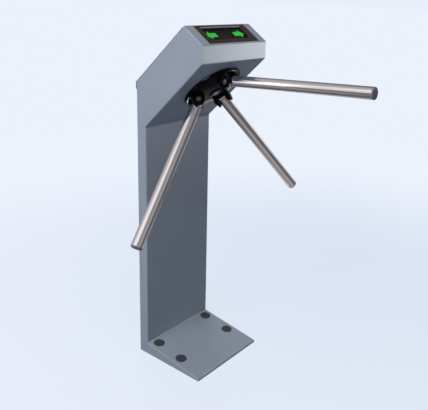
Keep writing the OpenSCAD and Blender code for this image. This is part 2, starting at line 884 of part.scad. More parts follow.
// Outline of a spur gear: both flanks of each tooth from root to tip
module gear_outline(teeth) {
    dedendum_share = 1.25;
    pitch_r = gear_module * teeth / 2;
    root_r = pitch_r - dedendum_share * gear_module;
    start_r = max(root_r, pitch_r * cos(pressure_angle));
    tip_r = pitch_r + gear_module;
    flank = [for (i = [0 : flank_steps]) lerp(start_r, tip_r, i / flank_steps)];
    polygon([
        for (t = [0 : teeth - 1])
            let (mid = t * 360 / teeth)
            each concat(
                [polar(root_r, mid - half_tooth(teeth, start_r) - 90 / teeth / 4)],
                [for (r = flank) polar(r, mid - half_tooth(teeth, r))],
                [for (i = [0 : flank_steps])
                    let (r = flank[flank_steps - i]) polar(r, mid + half_tooth(teeth, r))],
                [polar(root_r, mid + half_tooth(teeth, start_r) + 90 / teeth / 4)]
            )
    ]);
}

function polar(r, a) = [r * cos(a), r * sin(a)];

module main_gear() {
    holes = 6;
    hole_r = gear_pitch_r / 6;
    hole_ring_r = (shaft_r + key_out + gear_pitch_r) / 2;
    boss_r = shaft_r + 2 * gear_boss_t;
    color("goldenrod")
    at_hub()
        difference() {
            union() {
                translate([0, 0, gear_z]) linear_extrude(gear_t) gear_outline(gear_teeth);
                translate([0, 0, index_z + index_t + seat_fit])
                    cylinder(r = boss_r, h = gear_boss_t);
            }
            translate([0, 0, index_z]) cylinder(r = shaft_r + seat_fit, h = gear_top - index_z + cut);
            keyway(gear_z - gear_boss_t, gear_t + gear_boss_t);
            for (i = [0 : holes - 1])
                rotate([0, 0, (i + 1 / 2) * 360 / holes])
                    translate([hole_ring_r, 0, gear_z - cut])
                        cylinder(r = hole_r, h = gear_t + 2 * cut);
        }
}

// Slotted disc that the position sensor reads, with its own spacing boss
module encoder_disc() {
    window_in = shaft_r + 2 * gear_boss_t;
    window_out = encoder_r - 2 * encoder_t;
    color(dark_grey)
    at_hub()
        difference() {
            union() {
                translate([0, 0, encoder_z]) cylinder(r = encoder_r, h = encoder_t);
                translate([0, 0, gear_top + seat_fit])
                    cylinder(r = shaft_r + gear_boss_t, h = encoder_lift);
            }
            translate([0, 0, gear_top - cut])
                cylinder(r = shaft_r + seat_fit, h = encoder_lift + encoder_t + 2 * cut);
            for (k = [0 : arms - 1])
                rotate([0, 0, k * 360 / arms])
                    translate([window_in, -encoder_lift, encoder_z - cut])
                        cube([window_out - window_in, 2 * encoder_lift, encoder_t + 2 * cut]);
        }
}

// Front nut under the cap and top nut on the encoder disc
module shaft_nuts() {
    front_nut_t = counterbore_d - 3 * cut;
    color(dark_grey)
    at_hub() {
        translate([0, 0, counterbore_d - dome_h - front_nut_t - seat_fit])
            difference() {
                cylinder(r = counterbore_r - 2 * cut, h = front_nut_t, $fn = 6);
                translate([0, 0, -cut])
                    cylinder(r = thread_r + seat_fit, h = front_nut_t + 2 * cut);
            }
        translate([0, 0, encoder_top + seat_fit])
            difference() {
                cylinder(r = shaft_r + 2 * gear_boss_t, h = top_nut_t, $fn = 6);
                translate([0, 0, -cut]) cylinder(r = shaft_r + seat_fit, h = top_nut_t + 2 * cut);
            }
    }
}

// Height of the hub's front face above the underside at the radius r
function dome_at(r) =
    let (
        rim_h = hub_gap + rim_t + rim_chamfer,
        share = max(0, (r - dome_flat_r) / (hub_r - rim_chamfer - dome_flat_r))
    )
    dome_h - (dome_h - rim_h) * share * share;

// Hub casting: domed disc with three forks whose cheeks stand on the rim
module hub() {
    dome_steps = 8;
    rim_r = hub_r - rim_chamfer;
    color(hub_black)
    at_hub()
        difference() {
            union() {
                rotate_extrude($fn = 96)
                    polygon(concat(
                        [[0, -hub_gap], [hub_r, -hub_gap], [hub_r, -hub_gap - rim_t]],
                        [for (i = [0 : dome_steps])
                            let (r = lerp(rim_r, dome_flat_r, i / dome_steps)) [r, -dome_at(r)]],
                        [[0, -dome_h]]
                    ));
                for (k = [0 : arms - 1])
                    for (side = [-1, 1])
                        at_fork(k) translate([side * (fork_gap + cheek_t) / 2, 0, 0])
                            across(cheek_t) fork_cheek();
            }
            translate([0, 0, -dome_h - cut])
                cylinder(r = shaft_r + seat_fit, h = dome_h + 2 * cut);
            translate([0, 0, -dome_h - cut]) cylinder(r = counterbore_r, h = counterbore_d + cut);
            for (k = [0 : arms - 1])
                at_fork(k) {
                    across(fork_gap) fork_slot();
                    x_rod(bolt_r + run_fit, fork_gap + 2 * cheek_t + 2 * cut);
                }
        }
}

// Side view of a fork cheek, drawn round the pivot: -x away from the axis, -y out of the hub
module fork_cheek() {
    foot = pivot_drop - hub_gap - rim_t / 2;
    web = 14;
    circle(r = cheek_r);
    translate([-cheek_r, 0]) square([2 * cheek_r, foot]);
    polygon([[0, 0], [cheek_r * cos(30), -cheek_r * sin(30)], [cheek_r + web, foot], [0, foot]]);
}

// Room for the arm's root between the cheeks, open away from the hub
module fork_slot() {
    room_r = arm_r + cut;
    reach = hub_r;
    circle(r = room_r);
    translate([-reach, -reach]) square([reach + room_r, reach]);
    translate([-reach, 0]) square([reach, room_r]);
}

module hub_cap() {
    spigot_r = counterbore_r - face_gap;
    color(dark_grey)
    at_hub()
        rotate_extrude()
            polygon([
                [0, -dome_h - cap_h], [cap_r - cap_h, -dome_h - cap_h],
                [cap_r - cap_h / 3, -dome_h - 2 / 3 * cap_h], [cap_r, -dome_h - cap_h / 4],
                [cap_r, -dome_h - seat_fit], [spigot_r, -dome_h - seat_fit],
                [spigot_r, -dome_h + cut], [spigot_r - cut, -dome_h + 3 / 2 * cut],
                [0, -dome_h + 3 / 2 * cut - seat_fit]
            ]);
}

fork_half = fork_gap / 2 + cheek_t;

// Pivot bolts: domed heads on one side, threaded ends in the nuts on the other
module arm_bolts() {
    color(dark_grey)
    at_hub()
        for (k = [0 : arms - 1])
            at_fork(k) {
                x_rod(bolt_r, 2 * fork_half + 2 * nut_t);
                translate([-fork_half, 0, 0]) rotate([0, -90, 0])
                    rotate_extrude()
                        polygon([
                            [0, 0], [bolt_head_r, 0], [bolt_head_r, bolt_head_t / 3],
                            [3 / 4 * bolt_head_r, 4 / 5 * bolt_head_t],
                            [bolt_head_r / 2, bolt_head_t], [0, bolt_head_t]
                        ]);
            }
}

module arm_nuts() {
    color(dark_grey)
    at_hub()
        for (k = [0 : arms - 1])
            at_fork(k) translate([fork_half + seat_fit, 0, 0]) rotate([0, 90, 0])
                difference() {
                    cylinder(r = bolt_head_r + cut, h = nut_t - cut, $fn = 6);
                    translate([0, 0, -cut])
                        cylinder(r = bolt_r + seat_fit, h = nut_t + cut);
                }
}

tube_in_r = arm_r - arm_wall;
plug_fit_r = tube_in_r - 2 * run_fit;

module arm_tube(k) {
    color(steel)
    at_arm(k) translate([0, 0, root_l + seat_fit])
        ring(arm_r, tube_in_r, arm_l - arm_cap_t - root_l - 2 * seat_fit);
}

// Root of an arm: round-ended block between the cheeks, with a spigot inside the tube
module arm_root(k) {
    color(steel)
    at_arm(k)
        difference() {
            union() {
                intersection() {
                    translate([0, 0, -arm_r]) cylinder(r = arm_r, h = arm_r + root_l);
                    union() {
                        x_rod(arm_r, 2 * arm_r);
                        translate([-arm_r, -arm_r, 0]) cube([2 * arm_r, 2 * arm_r, root_l]);
                    }
                }
                cylinder(r = plug_fit_r, h = root_l + spigot_l);
            }
            x_rod(bolt_r + run_fit, 2 * arm_r + 2 * cut);
        }
}

module arm_cap(k) {
    chamfer = arm_cap_t / 3;
    color(dark_grey)
    at_arm(k) translate([0, 0, arm_l])
        rotate_extrude()
            polygon([
                [0, 0], [arm_r - chamfer, 0], [arm_r, -chamfer], [arm_r, -arm_cap_t],
                [plug_fit_r, -arm_cap_t], [plug_fit_r, -arm_cap_t - spigot_l / 2],
                [plug_fit_r - arm_cap_t, -arm_cap_t - spigot_l / 2],
                [plug_fit_r - arm_cap_t, -arm_cap_t], [0, -arm_cap_t]
            ]);
}

module barrier_arm_tube() { arm_tube(0); }
module barrier_arm_root() { arm_root(0); }
module barrier_arm_cap() { arm_cap(0); }
module right_arm_tube() { arm_tube(1); }
module right_arm_root() { arm_root(1); }
module right_arm_cap() { arm_cap(1); }
module left_arm_tube() { arm_tube(2); }
module left_arm_root() { arm_root(2); }
module left_arm_cap() { arm_cap(2); }

motor_top = gear_z - 2 * cut;

// Gearmotor that turns, centres and brakes the hub
module gearmotor() {
    boss_h = 3 * cut;
    color("gray")
    at_hub() translate([0, motor_y, 0])
        difference() {
            union() {
                translate([-motor_r - bracket_t, -motor_r - bracket_t, plate_top])
                    cube([2 * (motor_r + bracket_t), 2 * (motor_r + bracket_t), bracket_t]);
                translate([0, 0, plate_top]) cylinder(r = motor_r, h = motor_top - boss_h - plate_top);
                cylinder_from(2 * motor_shaft_r, motor_top - boss_h - cut, motor_top);
            }
            cylinder_from(motor_shaft_r + run_fit, plate_top + motor_r, motor_top + cut);
        }
}

module cylinder_from(r, z0, z1) {
    translate([0, 0, z0]) cylinder(r = r, h = z1 - z0);
}

module motor_shaft() {
    color(steel)
    at_hub() translate([0, motor_y, 0])
        cylinder_from(motor_shaft_r, plate_top + motor_r + cut, gear_top + 2 * cut);
}

module drive_pinion() {
    color("goldenrod")
    at_hub() translate([0, motor_y, gear_z])
        difference() {
            rotate([0, 0, 180 / pinion_teeth]) linear_extrude(gear_t) gear_outline(pinion_teeth);
            translate([0, 0, -cut]) cylinder(r = motor_shaft_r + seat_fit, h = gear_t + 2 * cut);
        }
}

// Stepped posts that the pawls swing on, with a clip groove's ring on top
module pawl_posts() {
    shoulder_r = pawl_pin_r + 2 * cut;
    color(steel)
    at_hub()
        for (side = [-1, 1])
            translate([side * pawl_x, -pawl_y, 0])
                rotate_extrude()
                    polygon([
                        [0, plate_top], [shoulder_r, plate_top], [shoulder_r, pawl_z - face_gap],
                        [pawl_pin_r, pawl_z - face_gap], [pawl_pin_r, pawl_z + pawl_t + face_gap],
                        [shoulder_r, pawl_z + pawl_t + face_gap],
                        [shoulder_r, pawl_z + pawl_t + face_gap + cut],
                        [0, pawl_z + pawl_t + face_gap + cut]
                    ]);
}

// Right pawl in its notch, drawn round its pivot
module pawl_in_notch() {
    tip_x = index_r - bite - pawl_x;
    waist_x = index_r + nose_half - pawl_x;
    heel_x = waist_x + 2 * pawl_pin_r;
    difference() {
        union() {
            cylinder(r = pawl_eye_r, h = pawl_t);
            translate([tip_x, pawl_y - nose_half, 0])
                cube([heel_x - tip_x, 2 * nose_half, pawl_t]);
            linear_extrude(pawl_t)
                polygon([
                    [waist_x + nose_half, pawl_y], [heel_x, pawl_y],
                    [heel_x + nose_half, pawl_y - 2 * nose_half], [pawl_eye_r - cut, -cut],
                    [cut - pawl_eye_r, cut]
                ]);
            translate([-pawl_pin_r, -pawl_tail, 0]) cube([2 * pawl_pin_r, pawl_tail, pawl_t]);
            translate([0, -pawl_tail, 0]) cylinder(r = 2 * link_pin_r, h = pawl_t);
        }
        translate([0, 0, -cut]) cylinder(r = pawl_pin_r + run_fit, h = pawl_t + 2 * cut);
        translate([0, -pawl_tail, -cut])
            cylinder(r = link_pin_r + 2 * face_gap, h = pawl_t + 2 * cut);
    }
}

module right_pawl_at_rest() {
    color("darkkhaki")
    translate([pawl_x, -pawl_y, pawl_z]) rotate([0, 0, -pawl_swing]) pawl_in_notch();
}

module right_pawl() { at_hub() right_pawl_at_rest(); }
module left_pawl() { at_hub() mirror([1, 0, 0]) right_pawl_at_rest(); }

// Centre line of the plungers and the place of their cross pins at rest
plunger_y = -pawl_y - pawl_tail * (1 + cos(pawl_swing)) / 2;
link_x = pawl_x - pawl_tail * sin(pawl_swing);

// A plunger: rod into the coil, fork over the pawl's tail and a cross pin through both
module right_plunger_at_rest() {
    fork_r = 2 * link_pin_r + cut;
    slot_t = pawl_t + 2 * face_gap;
    fork_t = slot_t + 2 * bracket_t;
    color(steel)
    translate([link_x, plunger_y, pawl_mid]) {
        difference() {
            union() {
                cylinder(r = fork_r, h = fork_t, center = true);
                translate([0, -fork_r, -fork_t / 2]) cube([2 * fork_r, 2 * fork_r, fork_t]);
            }
            translate([-fork_r - cut, -fork_r - cut, -slot_t / 2])
                cube([fork_r + cut + 2 * link_pin_r + 3 * cut, 2 * fork_r + 2 * cut, slot_t]);
        }
        cylinder(r = link_pin_r, h = fork_t - cut, center = true);
        translate([2 * fork_r - cut, 0, 0]) rotate([0, 90, 0])
            cylinder(r = plunger_r, h = coil_x + coil_l / 2 - link_x - 2 * fork_r + cut);
    }
}

module right_plunger() { at_hub() right_plunger_at_rest(); }
module left_plunger() { at_hub() mirror([1, 0, 0]) right_plunger_at_rest(); }

// Both solenoids stand over the plate's front corners, with their axes across the head
module at_solenoids() {
    at_hub()
        for (side = [0, 1])
            mirror([side, 0, 0]) translate([coil_x, plunger_y, pawl_mid]) children();
}

module solenoid_frames() {
    color(zinc)
    at_solenoids()
        difference() {
            translate([0, -coil_box / 2, -coil_box / 2]) cube([coil_l, coil_box, coil_box]);
            translate([bracket_t, -coil_box / 2 - cut, bracket_t - coil_box / 2])
                cube([coil_l - 2 * bracket_t, coil_box + 2 * cut, coil_box - 2 * bracket_t]);
            translate([bracket_t / 2, 0, 0]) x_rod(plunger_r + run_fit, 2 * bracket_t);
        }
}

module solenoid_coils() {
    coil_r = coil_box / 2 - bracket_t - face_gap;
    color("firebrick")
    at_solenoids()
        translate([coil_l / 2, 0, 0])
            difference() {
                x_rod(coil_r, coil_l - 2 * bracket_t - 2 * seat_fit);
                x_rod(plunger_r + run_fit, coil_l);
            }
}

// Bent brackets that carry the solenoids on the mechanism plate
module solenoid_brackets() {
    foot_z = plate_top - pawl_mid;
    shelf_z = -coil_box / 2 - bracket_t;
    color(zinc)
    at_solenoids()
        rotate([90, 0, 0])
            linear_extrude(coil_box, center = true)
                polygon([
                    [0, foot_z], [coil_l * 4 / 5, foot_z], [coil_l * 4 / 5, foot_z + bracket_t],
                    [bracket_t, foot_z + bracket_t], [bracket_t, shelf_z], [coil_l, shelf_z],
                    [coil_l, shelf_z + bracket_t - seat_fit], [0, shelf_z + bracket_t - seat_fit]
                ]);
}

// Optical sensor on a stand, with a slot that the encoder disc turns through
module sensor_fork() {
    stand_r = gear_pitch_r + gear_module + 2 * cut;
    stand_d = 4 * bracket_t;
    jaw_low = gear_top + cut;
    jaw_top = encoder_top + encoder_lift - 2 * cut;
    slot_in = encoder_r + 2 * cut;
    slot_low = encoder_z - 3 / 2 * cut;
    slot_top = encoder_top + 3 / 2 * cut;
    jaw_r = encoder_r - 2 * stand_d / 3;
    color(dark_grey)
    at_hub()
        rotate([0, 0, 150])
            rotate([90, 0, 0])
                linear_extrude(stand_d, center = true)
                    polygon([
                        [stand_r, plate_top], [stand_r + stand_d, plate_top],
                        [stand_r + stand_d, jaw_top], [jaw_r, jaw_top], [jaw_r, slot_top],
                        [slot_in, slot_top], [slot_in, slot_low], [jaw_r, slot_low],
                        [jaw_r, jaw_low], [stand_r, jaw_low]
                    ]);
}

control_z = under_z - control_drop;
control_y = back_y - skin - standoff_l;

// Control board on the column's back wall, with its terminals and relays
module control_board() {
    part_d = column_d - 2 * skin - standoff_l - board_t - 4 * cut;
    color("darkgreen")
    translate([0, control_y, control_z]) {
        translate([-control_w / 2, -board_t, -control_h / 2]) cube([control_w, board_t, control_h]);
        for (i = [-2 : 2])
            translate([i * control_w / 6 - control_w / 16, -board_t - part_d / 2, -control_h * 2 / 5])
                cube([control_w / 8, part_d / 2 + board_t / 2, control_h / 8]);
        for (i = [-1 : 1])
            translate([i * control_w / 5 - control_w / 16, -board_t - part_d, control_h / 8])
                cube([control_w / 8, part_d + board_t / 2, control_h / 4]);
    }
}

module board_standoffs() {
    color(steel)
    for (x = [-control_w / 2 + 2 * standoff_r, control_w / 2 - 2 * standoff_r])
        for (z = [-control_h / 2 + 2 * standoff_r, control_h / 2 - 2 * standoff_r])
            translate([x, control_y + standoff_l, control_z + z]) rotate([90, 0, 0])
                cylinder(r = standoff_r, h = standoff_l);
}

module power_supply() {
    vents = 6;
    vent_h = supply_h / 3 / vents;
    supply_z = under_z - supply_drop - supply_h;
    supply_y = back_y - skin - supply_d;
    color("gainsboro")
    difference() {
        translate([-supply_w / 2, supply_y, supply_z]) cube([supply_w, supply_d, supply_h]);
        for (i = [1 : vents])
            translate([-supply_w / 3, supply_y - cut, supply_z + i * supply_h / (vents + 1)])
                cube([supply_w * 2 / 3, 2 * cut, vent_h]);
    }
}

// The two hinges at the ends of the top edge
module at_hinges() {
    for (x = [-hinge_x, hinge_x]) translate([x, 0, 0]) children();
}

module at_pin() {
    translate([0, slope_pt(hinge_s, pin_depth)[0], slope_pt(hinge_s, pin_depth)[1]]) children();
}

pin_deck_y = (slope_pt(hinge_s, pin_depth) - crown) * [-cos(deck_slope), -sin(deck_slope)];
pin_deck_d = (slope_pt(hinge_s, pin_depth) - crown) * [sin(deck_slope), -cos(deck_slope)];

// Middle knuckle of each hinge, on a strap along the inside of the deck
module housing_hinge_leaves() {
    strap_low = pin_deck_d - knuckle_r;
    color(steel)
    at_hinges()
        difference() {
            union() {
                at_pin() x_rod(knuckle_r, knuckle_w - face_gap);
                at_deck()
                    translate([-(knuckle_w - face_gap) / 2, pin_deck_y + cut, skin])
                        cube([knuckle_w - face_gap, leaf_l / 2, strap_low + knuckle_r - skin]);
            }
            at_pin() x_rod(hinge_pin_r + run_fit, knuckle_w + 2 * cut);
            at_pin() translate([0, knuckle_r + lid_t, 0]) x_rod(hinge_pin_r, knuckle_w + 2 * cut);
        }
}

module lid_hinge_leaves() {
    color(steel)
    at_hinges()
        for (side = [-1, 1])
            translate([side * knuckle_w, 0, 0])
                difference() {
                    union() {
                        at_pin() x_rod(knuckle_r, knuckle_w - face_gap);
                        at_slope()
                            translate([-(knuckle_w - face_gap) / 2, hinge_s, -lid_t - leaf_t])
                                cube([knuckle_w - face_gap, leaf_l, leaf_t]);
                    }
                    at_pin() x_rod(hinge_pin_r + run_fit, knuckle_w + 2 * cut);
                }
}

module hinge_pins() {
    color(dark_grey)
    at_hinges() at_pin() x_rod(hinge_pin_r, 3 * knuckle_w);
}

lid_w = body_w - 2 * lid_gap;

// Lid: sloping sheet with a lip behind the column and flanges inside the side walls
module head_lid() {
    flange_x = inner_w / 2 - cut - lid_t / 2;
    flange_s = hinge_s + 4 * knuckle_r;
    flange_end_y = back_y - skin - 2 * cut;
    color(body_grey)
    difference() {
        union() {
            across(lid_w)
                polygon([
                    slope_pt(hinge_s, 0), slope_at(lip_out_y, 0), [lip_out_y, lip_low_z],
                    [lip_in_y, lip_low_z], slope_at(lip_in_y, lid_t), slope_pt(hinge_s, lid_t)
                ]);
            for (x = [-flange_x, flange_x])
                translate([x, 0, 0])
                    across(lid_t)
                        polygon([
                            slope_pt(flange_s, lid_t / 2), slope_at(flange_end_y, lid_t / 2),
                            slope_at(flange_end_y, lid_t + flange_h),
                            slope_pt(flange_s + flange_h, lid_t + flange_h)
                        ]);
        }
        at_hinges() at_pin() x_rod(knuckle_r + face_gap, 3 * knuckle_w + 2 * face_gap);
        at_slope() translate([0, lock_s, -lid_t - cut])
            cylinder(r = lock_r + 2 * run_fit, h = lid_t + 2 * cut);
    }
}

module lock_barrel() {
    color(steel)
    at_slope() translate([0, lock_s, 0])
        difference() {
            union() {
                rotate_extrude()
                    polygon([
                        [0, 0], [lock_face_r, 0], [lock_face_r, lock_face_t / 2],
                        [lock_face_r - lock_face_t / 2, lock_face_t], [0, lock_face_t]
                    ]);
                cylinder_from(lock_r, -lock_l, lock_face_t / 2);
                cylinder_from(lock_r + 2 * cut, -lid_t - 2 * cut, -lid_t - seat_fit);
            }
            cylinder_from(plug_key_r + run_fit, -lock_l - cut, lock_face_t + cut);
        }
}

// The part of the lock that the key turns
module lock_plug() {
    key_t = plug_key_r / 4;
    color("darkgray")
    at_slope() translate([0, lock_s, 0])
        difference() {
            cylinder_from(plug_key_r, -cam_d - cam_t - cut, lock_face_t);
            translate([-key_t / 2, -plug_key_r * 3 / 5, 0])
                cube([key_t, plug_key_r * 6 / 5, lock_face_t + cut]);
        }
}

// Cam drawn unlocked, pointing sideways
module lock_cam() {
    color(steel)
    at_slope() translate([0, lock_s, -cam_d - cam_t])
        difference() {
            union() {
                cylinder(r = lock_r, h = cam_t);
                translate([0, -cam_w / 2, 0]) cube([cam_l, cam_w, cam_t]);
            }
            translate([0, 0, -cut]) cylinder(r = plug_key_r + seat_fit, h = cam_t + 2 * cut);
        }
}

// Angle on the back wall that the locked cam catches under
module lid_catch() {
    wall_y = back_y - skin;
    color(zinc)
    across(catch_w)
        polygon([
            slope_pt(catch_s, catch_d), slope_at(wall_y, catch_d),
            slope_at(wall_y, catch_d) - [0, catch_reach],
            slope_at(wall_y, catch_d) - [cam_t, catch_reach],
            slope_at(wall_y - cam_t, catch_d + cam_t), slope_pt(catch_s, catch_d + cam_t)
        ]);
}

housing();
base_plate();
foot_ribs();
foot_plugs();
cable_bush();
display_bezel();
display_pane();
indicator_board();
left_arrow_light();
right_arrow_light();
mechanism_plate();
plate_spacers();
plate_bolts();
bearing_sleeve();
sleeve_bolts();
lower_bearing();
upper_bearing();
gearmotor();
pawl_posts();
solenoid_brackets();
solenoid_frames();
solenoid_coils();
sensor_fork();
control_board();
board_standoffs();
power_supply();
housing_hinge_leaves();
hinge_pins();
lid_catch();
hub();
hub_cap();
shaft_nuts();
main_shaft();
drive_key();
spacer_ring();
index_disc();
main_gear();
encoder_disc();
arm_bolts();
arm_nuts();
barrier_arm_tube();
barrier_arm_root();
barrier_arm_cap();
right_arm_tube();
right_arm_root();
right_arm_cap();
left_arm_tube();
left_arm_root();
left_arm_cap();
drive_pinion();
motor_shaft();
left_pawl();
right_pawl();
left_plunger();
right_plunger();
head_lid();
lid_hinge_leaves();
lock_barrel();
lock_plug();
lock_cam();
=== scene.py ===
"""Looks of a compact tripod turnstile: its visible pieces, finishes and studio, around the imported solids."""

import json
import logging
import math
from collections.abc import Callable, Sequence
from dataclasses import dataclass
from enum import Enum

import bmesh
import bpy
from mathutils import Matrix, Vector


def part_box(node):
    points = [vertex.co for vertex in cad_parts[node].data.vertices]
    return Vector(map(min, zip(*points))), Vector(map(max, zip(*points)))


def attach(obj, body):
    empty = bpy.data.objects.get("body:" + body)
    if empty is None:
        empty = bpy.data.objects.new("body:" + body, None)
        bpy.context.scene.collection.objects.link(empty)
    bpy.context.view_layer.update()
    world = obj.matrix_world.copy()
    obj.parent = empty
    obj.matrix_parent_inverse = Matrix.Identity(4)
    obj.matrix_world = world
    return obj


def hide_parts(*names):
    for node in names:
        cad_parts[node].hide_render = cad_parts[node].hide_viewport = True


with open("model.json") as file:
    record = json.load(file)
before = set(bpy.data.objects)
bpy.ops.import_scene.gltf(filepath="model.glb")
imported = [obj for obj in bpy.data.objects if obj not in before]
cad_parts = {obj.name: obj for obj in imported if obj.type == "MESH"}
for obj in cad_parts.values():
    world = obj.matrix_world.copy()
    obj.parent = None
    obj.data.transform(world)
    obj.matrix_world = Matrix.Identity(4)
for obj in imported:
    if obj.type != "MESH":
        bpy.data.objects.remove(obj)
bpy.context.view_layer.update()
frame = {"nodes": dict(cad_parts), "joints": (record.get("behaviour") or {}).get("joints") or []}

MM = 0.001
LOG = logging.getLogger("turnstile")

Triple = tuple[float, float, float]
Colour = tuple[float, float, float]
Pair = tuple[float, float]
Source = bpy.types.Node | bpy.types.NodeSocket


class Side(Enum):
    """The two sides of the machine, as seen by a person in front of the nose."""

    LEFT = -1
    RIGHT = 1


class Grain(Enum):
    """What a fine surface pattern follows."""

    SOLID = "Object"
    WRAPPED = "UV"


# Materials


class Tree:
    """The node tree of a material or of the world.

    Its calls pass sources on: a node, which stands for its first output, or one output socket.
    """

    def __init__(self, tree: bpy.types.NodeTree) -> None:
        """Takes a tree and empties it."""
        self.tree = tree
        self.tree.nodes.clear()

    def feed(self, node: bpy.types.Node, entry: str | int, value: object) -> None:
        """Links a source to an input, or sets the input to a plain value."""
        if isinstance(value, bpy.types.Node):
            value = value.outputs[0]
        if isinstance(value, bpy.types.NodeSocket):
            self.tree.links.new(value, node.inputs[entry])
        else:
            node.inputs[entry].default_value = value

    def add(self, kind: str, *entries: object, **values: object) -> bpy.types.Node:
        """Adds a node and sets its properties and inputs.

        Args:
            kind: The node's type without the ShaderNode prefix.
            *entries: Plain values or sources for its first inputs, in their order.
            **values: Properties in lower case, and inputs under their own capital names.

        Returns:
            The new node.
        """
        node = self.tree.nodes.new("ShaderNode" + kind)
        for key, value in values.items():
            if key[0].isupper():
                self.feed(node, key.replace("_", " "), value)
            else:
                setattr(node, key, value)
        for entry, value in enumerate(entries):
            self.feed(node, entry, value)
        return node

    def ease(self, value: Source, low: float, high: float, start: float = 0.0, end: float = 1.0) -> Source:
        """Returns a value that eases from start to end while the given one goes from low to high."""
        return self.add(
            "MapRange", Value=value, From_Min=low, From_Max=high, To_Min=start, To_Max=end,
            interpolation_type="SMOOTHSTEP",
        )

    def total(self, base: float, parts: Sequence[Source]) -> Source:
        """Returns the sum of a plain value and some sources."""
        level = base
        for part in parts:
            level = self.add("Math", part, level, operation="ADD")
        return level

    def seen(self, path: bpy.types.Node) -> Source:
        """Returns 1 for the camera's rays, also through the pane, and 0 for all others."""
        rays = (path.outputs["Is Camera Ray"], path.outputs["Is Transmission Ray"])
        return self.add("Math", *rays, operation="MAXIMUM")


class Graph(Tree):
    """A material's node tree round one Principled shader."""

    def __init__(self, finish: "Finish") -> None:
        """Starts a finish's material, with its plain values on the shader."""
        self.finish = finish
        self.material = bpy.data.materials.new(finish.name)
        self.material.use_nodes = True
        super().__init__(self.material.node_tree)
        self.shader = self.add("BsdfPrincipled", Roughness=finish.roughness, Metallic=finish.metallic)
        self.set(Base_Color=(*finish.colour, 1.0))
        self.output = self.add("OutputMaterial", Surface=self.shader)

    def set(self, **values: object) -> None:
        """Sets inputs of the shader to plain values or sources."""
        for key, value in values.items():
            self.feed(self.shader, key.replace("_", " "), value)

    def place(self, grain: Grain, stretch: Triple = (1.0, 1.0, 1.0)) -> Source:
        """Returns the coordinates that a pattern follows, stretched along each axis."""
        return self.add("Mapping", Vector=self.add("TexCoord").outputs[grain.value], Scale=stretch)

    def pattern(
        self, kind: str, size_mm: float, where: Source | None = None, **values: object
    ) -> bpy.types.Node:
        """Adds a texture whose features are about size_mm wide, fixed to the piece unless placed."""
        where = self.place(Grain.SOLID) if where is None else where
        return self.add("Tex" + kind, Vector=where, Scale=1.0 / (size_mm * MM), **values)

    def noise(self, size_mm: float, detail: float = 2.0, where: Source | None = None) -> Source:
        """Returns a noise pattern whose features are about size_mm wide."""
        return self.pattern("Noise", size_mm, where, Detail=detail)

    def distance(self, point: Triple = (0.0, 0.0, 0.0)) -> Source:
        """Returns how far, in metres, the surface lies from a point of the piece."""
        return self.add("VectorMath", self.place(Grain.SOLID), point, operation="DISTANCE").outputs["Value"]

    def ramp(self, pattern: Source, stops: Sequence[tuple[float, Colour]]) -> Source:
        """Returns a pattern put through a colour ramp with the given stops."""
        node = self.add("ValToRGB", pattern)
        marks = node.color_ramp.elements
        while len(marks) < len(stops):
            marks.new(1.0)
        for mark, (position, colour) in zip(marks, stops):
            mark.position = position
            mark.color = (*colour, 1.0)
        return node

    def tint(self, pattern: Source, spread: float) -> None:
        """Lets a pattern lighten and darken the finish's colour by the share spread."""
        dark, light = (shade(self.finish.colour, share) for share in (1.0 - spread, 1.0 + spread))
        self.set(Base_Color=self.ramp(pattern, [(0.3, dark), (0.7, light)]))

    def vary(self, pattern: Source, down: float, up: float) -> None:
        """Lets a pattern move the roughness below and above the finish's own."""
        low, high = self.finish.roughness - down, self.finish.roughness + up
        self.set(Roughness=self.add("MapRange", Value=pattern, To_Min=low, To_Max=high))

    def relief(self, strength: float, *layers: tuple[Source, float]) -> None:
        """Raises the surface by patterns laid over each other.

        Args:
            strength: How strongly every layer bends the light.
            *layers: Each pattern with its depth in millimetres.
        """
        below = {}
        for pattern, depth in layers:
            bump = self.add("Bump", Height=pattern, Strength=strength, Distance=depth * MM, **below)
            below = {"Normal": bump}
        self.set(**below)


def shade(colour: Colour, share: float) -> Colour:
    """Returns the colour made lighter or darker by a share, kept within range."""
    return tuple(min(1.0, channel * share) for channel in colour)


@dataclass(frozen=True)
class Finish:
    """A finish of one or more pieces; build() makes its material."""

    name: str
    slot: str
    colour: Colour
    roughness: float
    metallic: float = 0.0

    def build(self) -> bpy.types.Material:
        """Makes the material from the plain values and the finish's own patterns."""
        graph = Graph(self)
        self.paint(graph)
        return graph.material

    def paint(self, graph: Graph) -> None:
        """Adds the finish's own patterns; a plain finish has none."""


@dataclass(frozen=True)
class PowderCoat(Finish):
    """Fine-textured powder coat: small pits and specks over a faint uneven sheen."""

    grain_mm: float = 0.9
    cloud_mm: float = 120.0
    cloud_share: float = 0.25
    pit_mm: float = 0.035
    sheen: float = 0.25
    sheen_tint: Colour = (0.78, 0.89, 1.0)

    def paint(self, graph: Graph) -> None:
        """Adds the pits, the specks and the clouds."""
        grain = graph.noise(self.grain_mm, 3.0)
        cloud = graph.noise(self.cloud_mm)
        blend = graph.add("Mix", data_type="FLOAT", Factor=self.cloud_share, A=grain, B=cloud)
        graph.set(Specular_IOR_Level=self.sheen, Specular_Tint=(*self.sheen_tint, 1.0))
        graph.tint(blend, 0.10)
        graph.vary(grain, 0.08, 0.10)
        graph.relief(0.7, (grain, self.pit_mm))


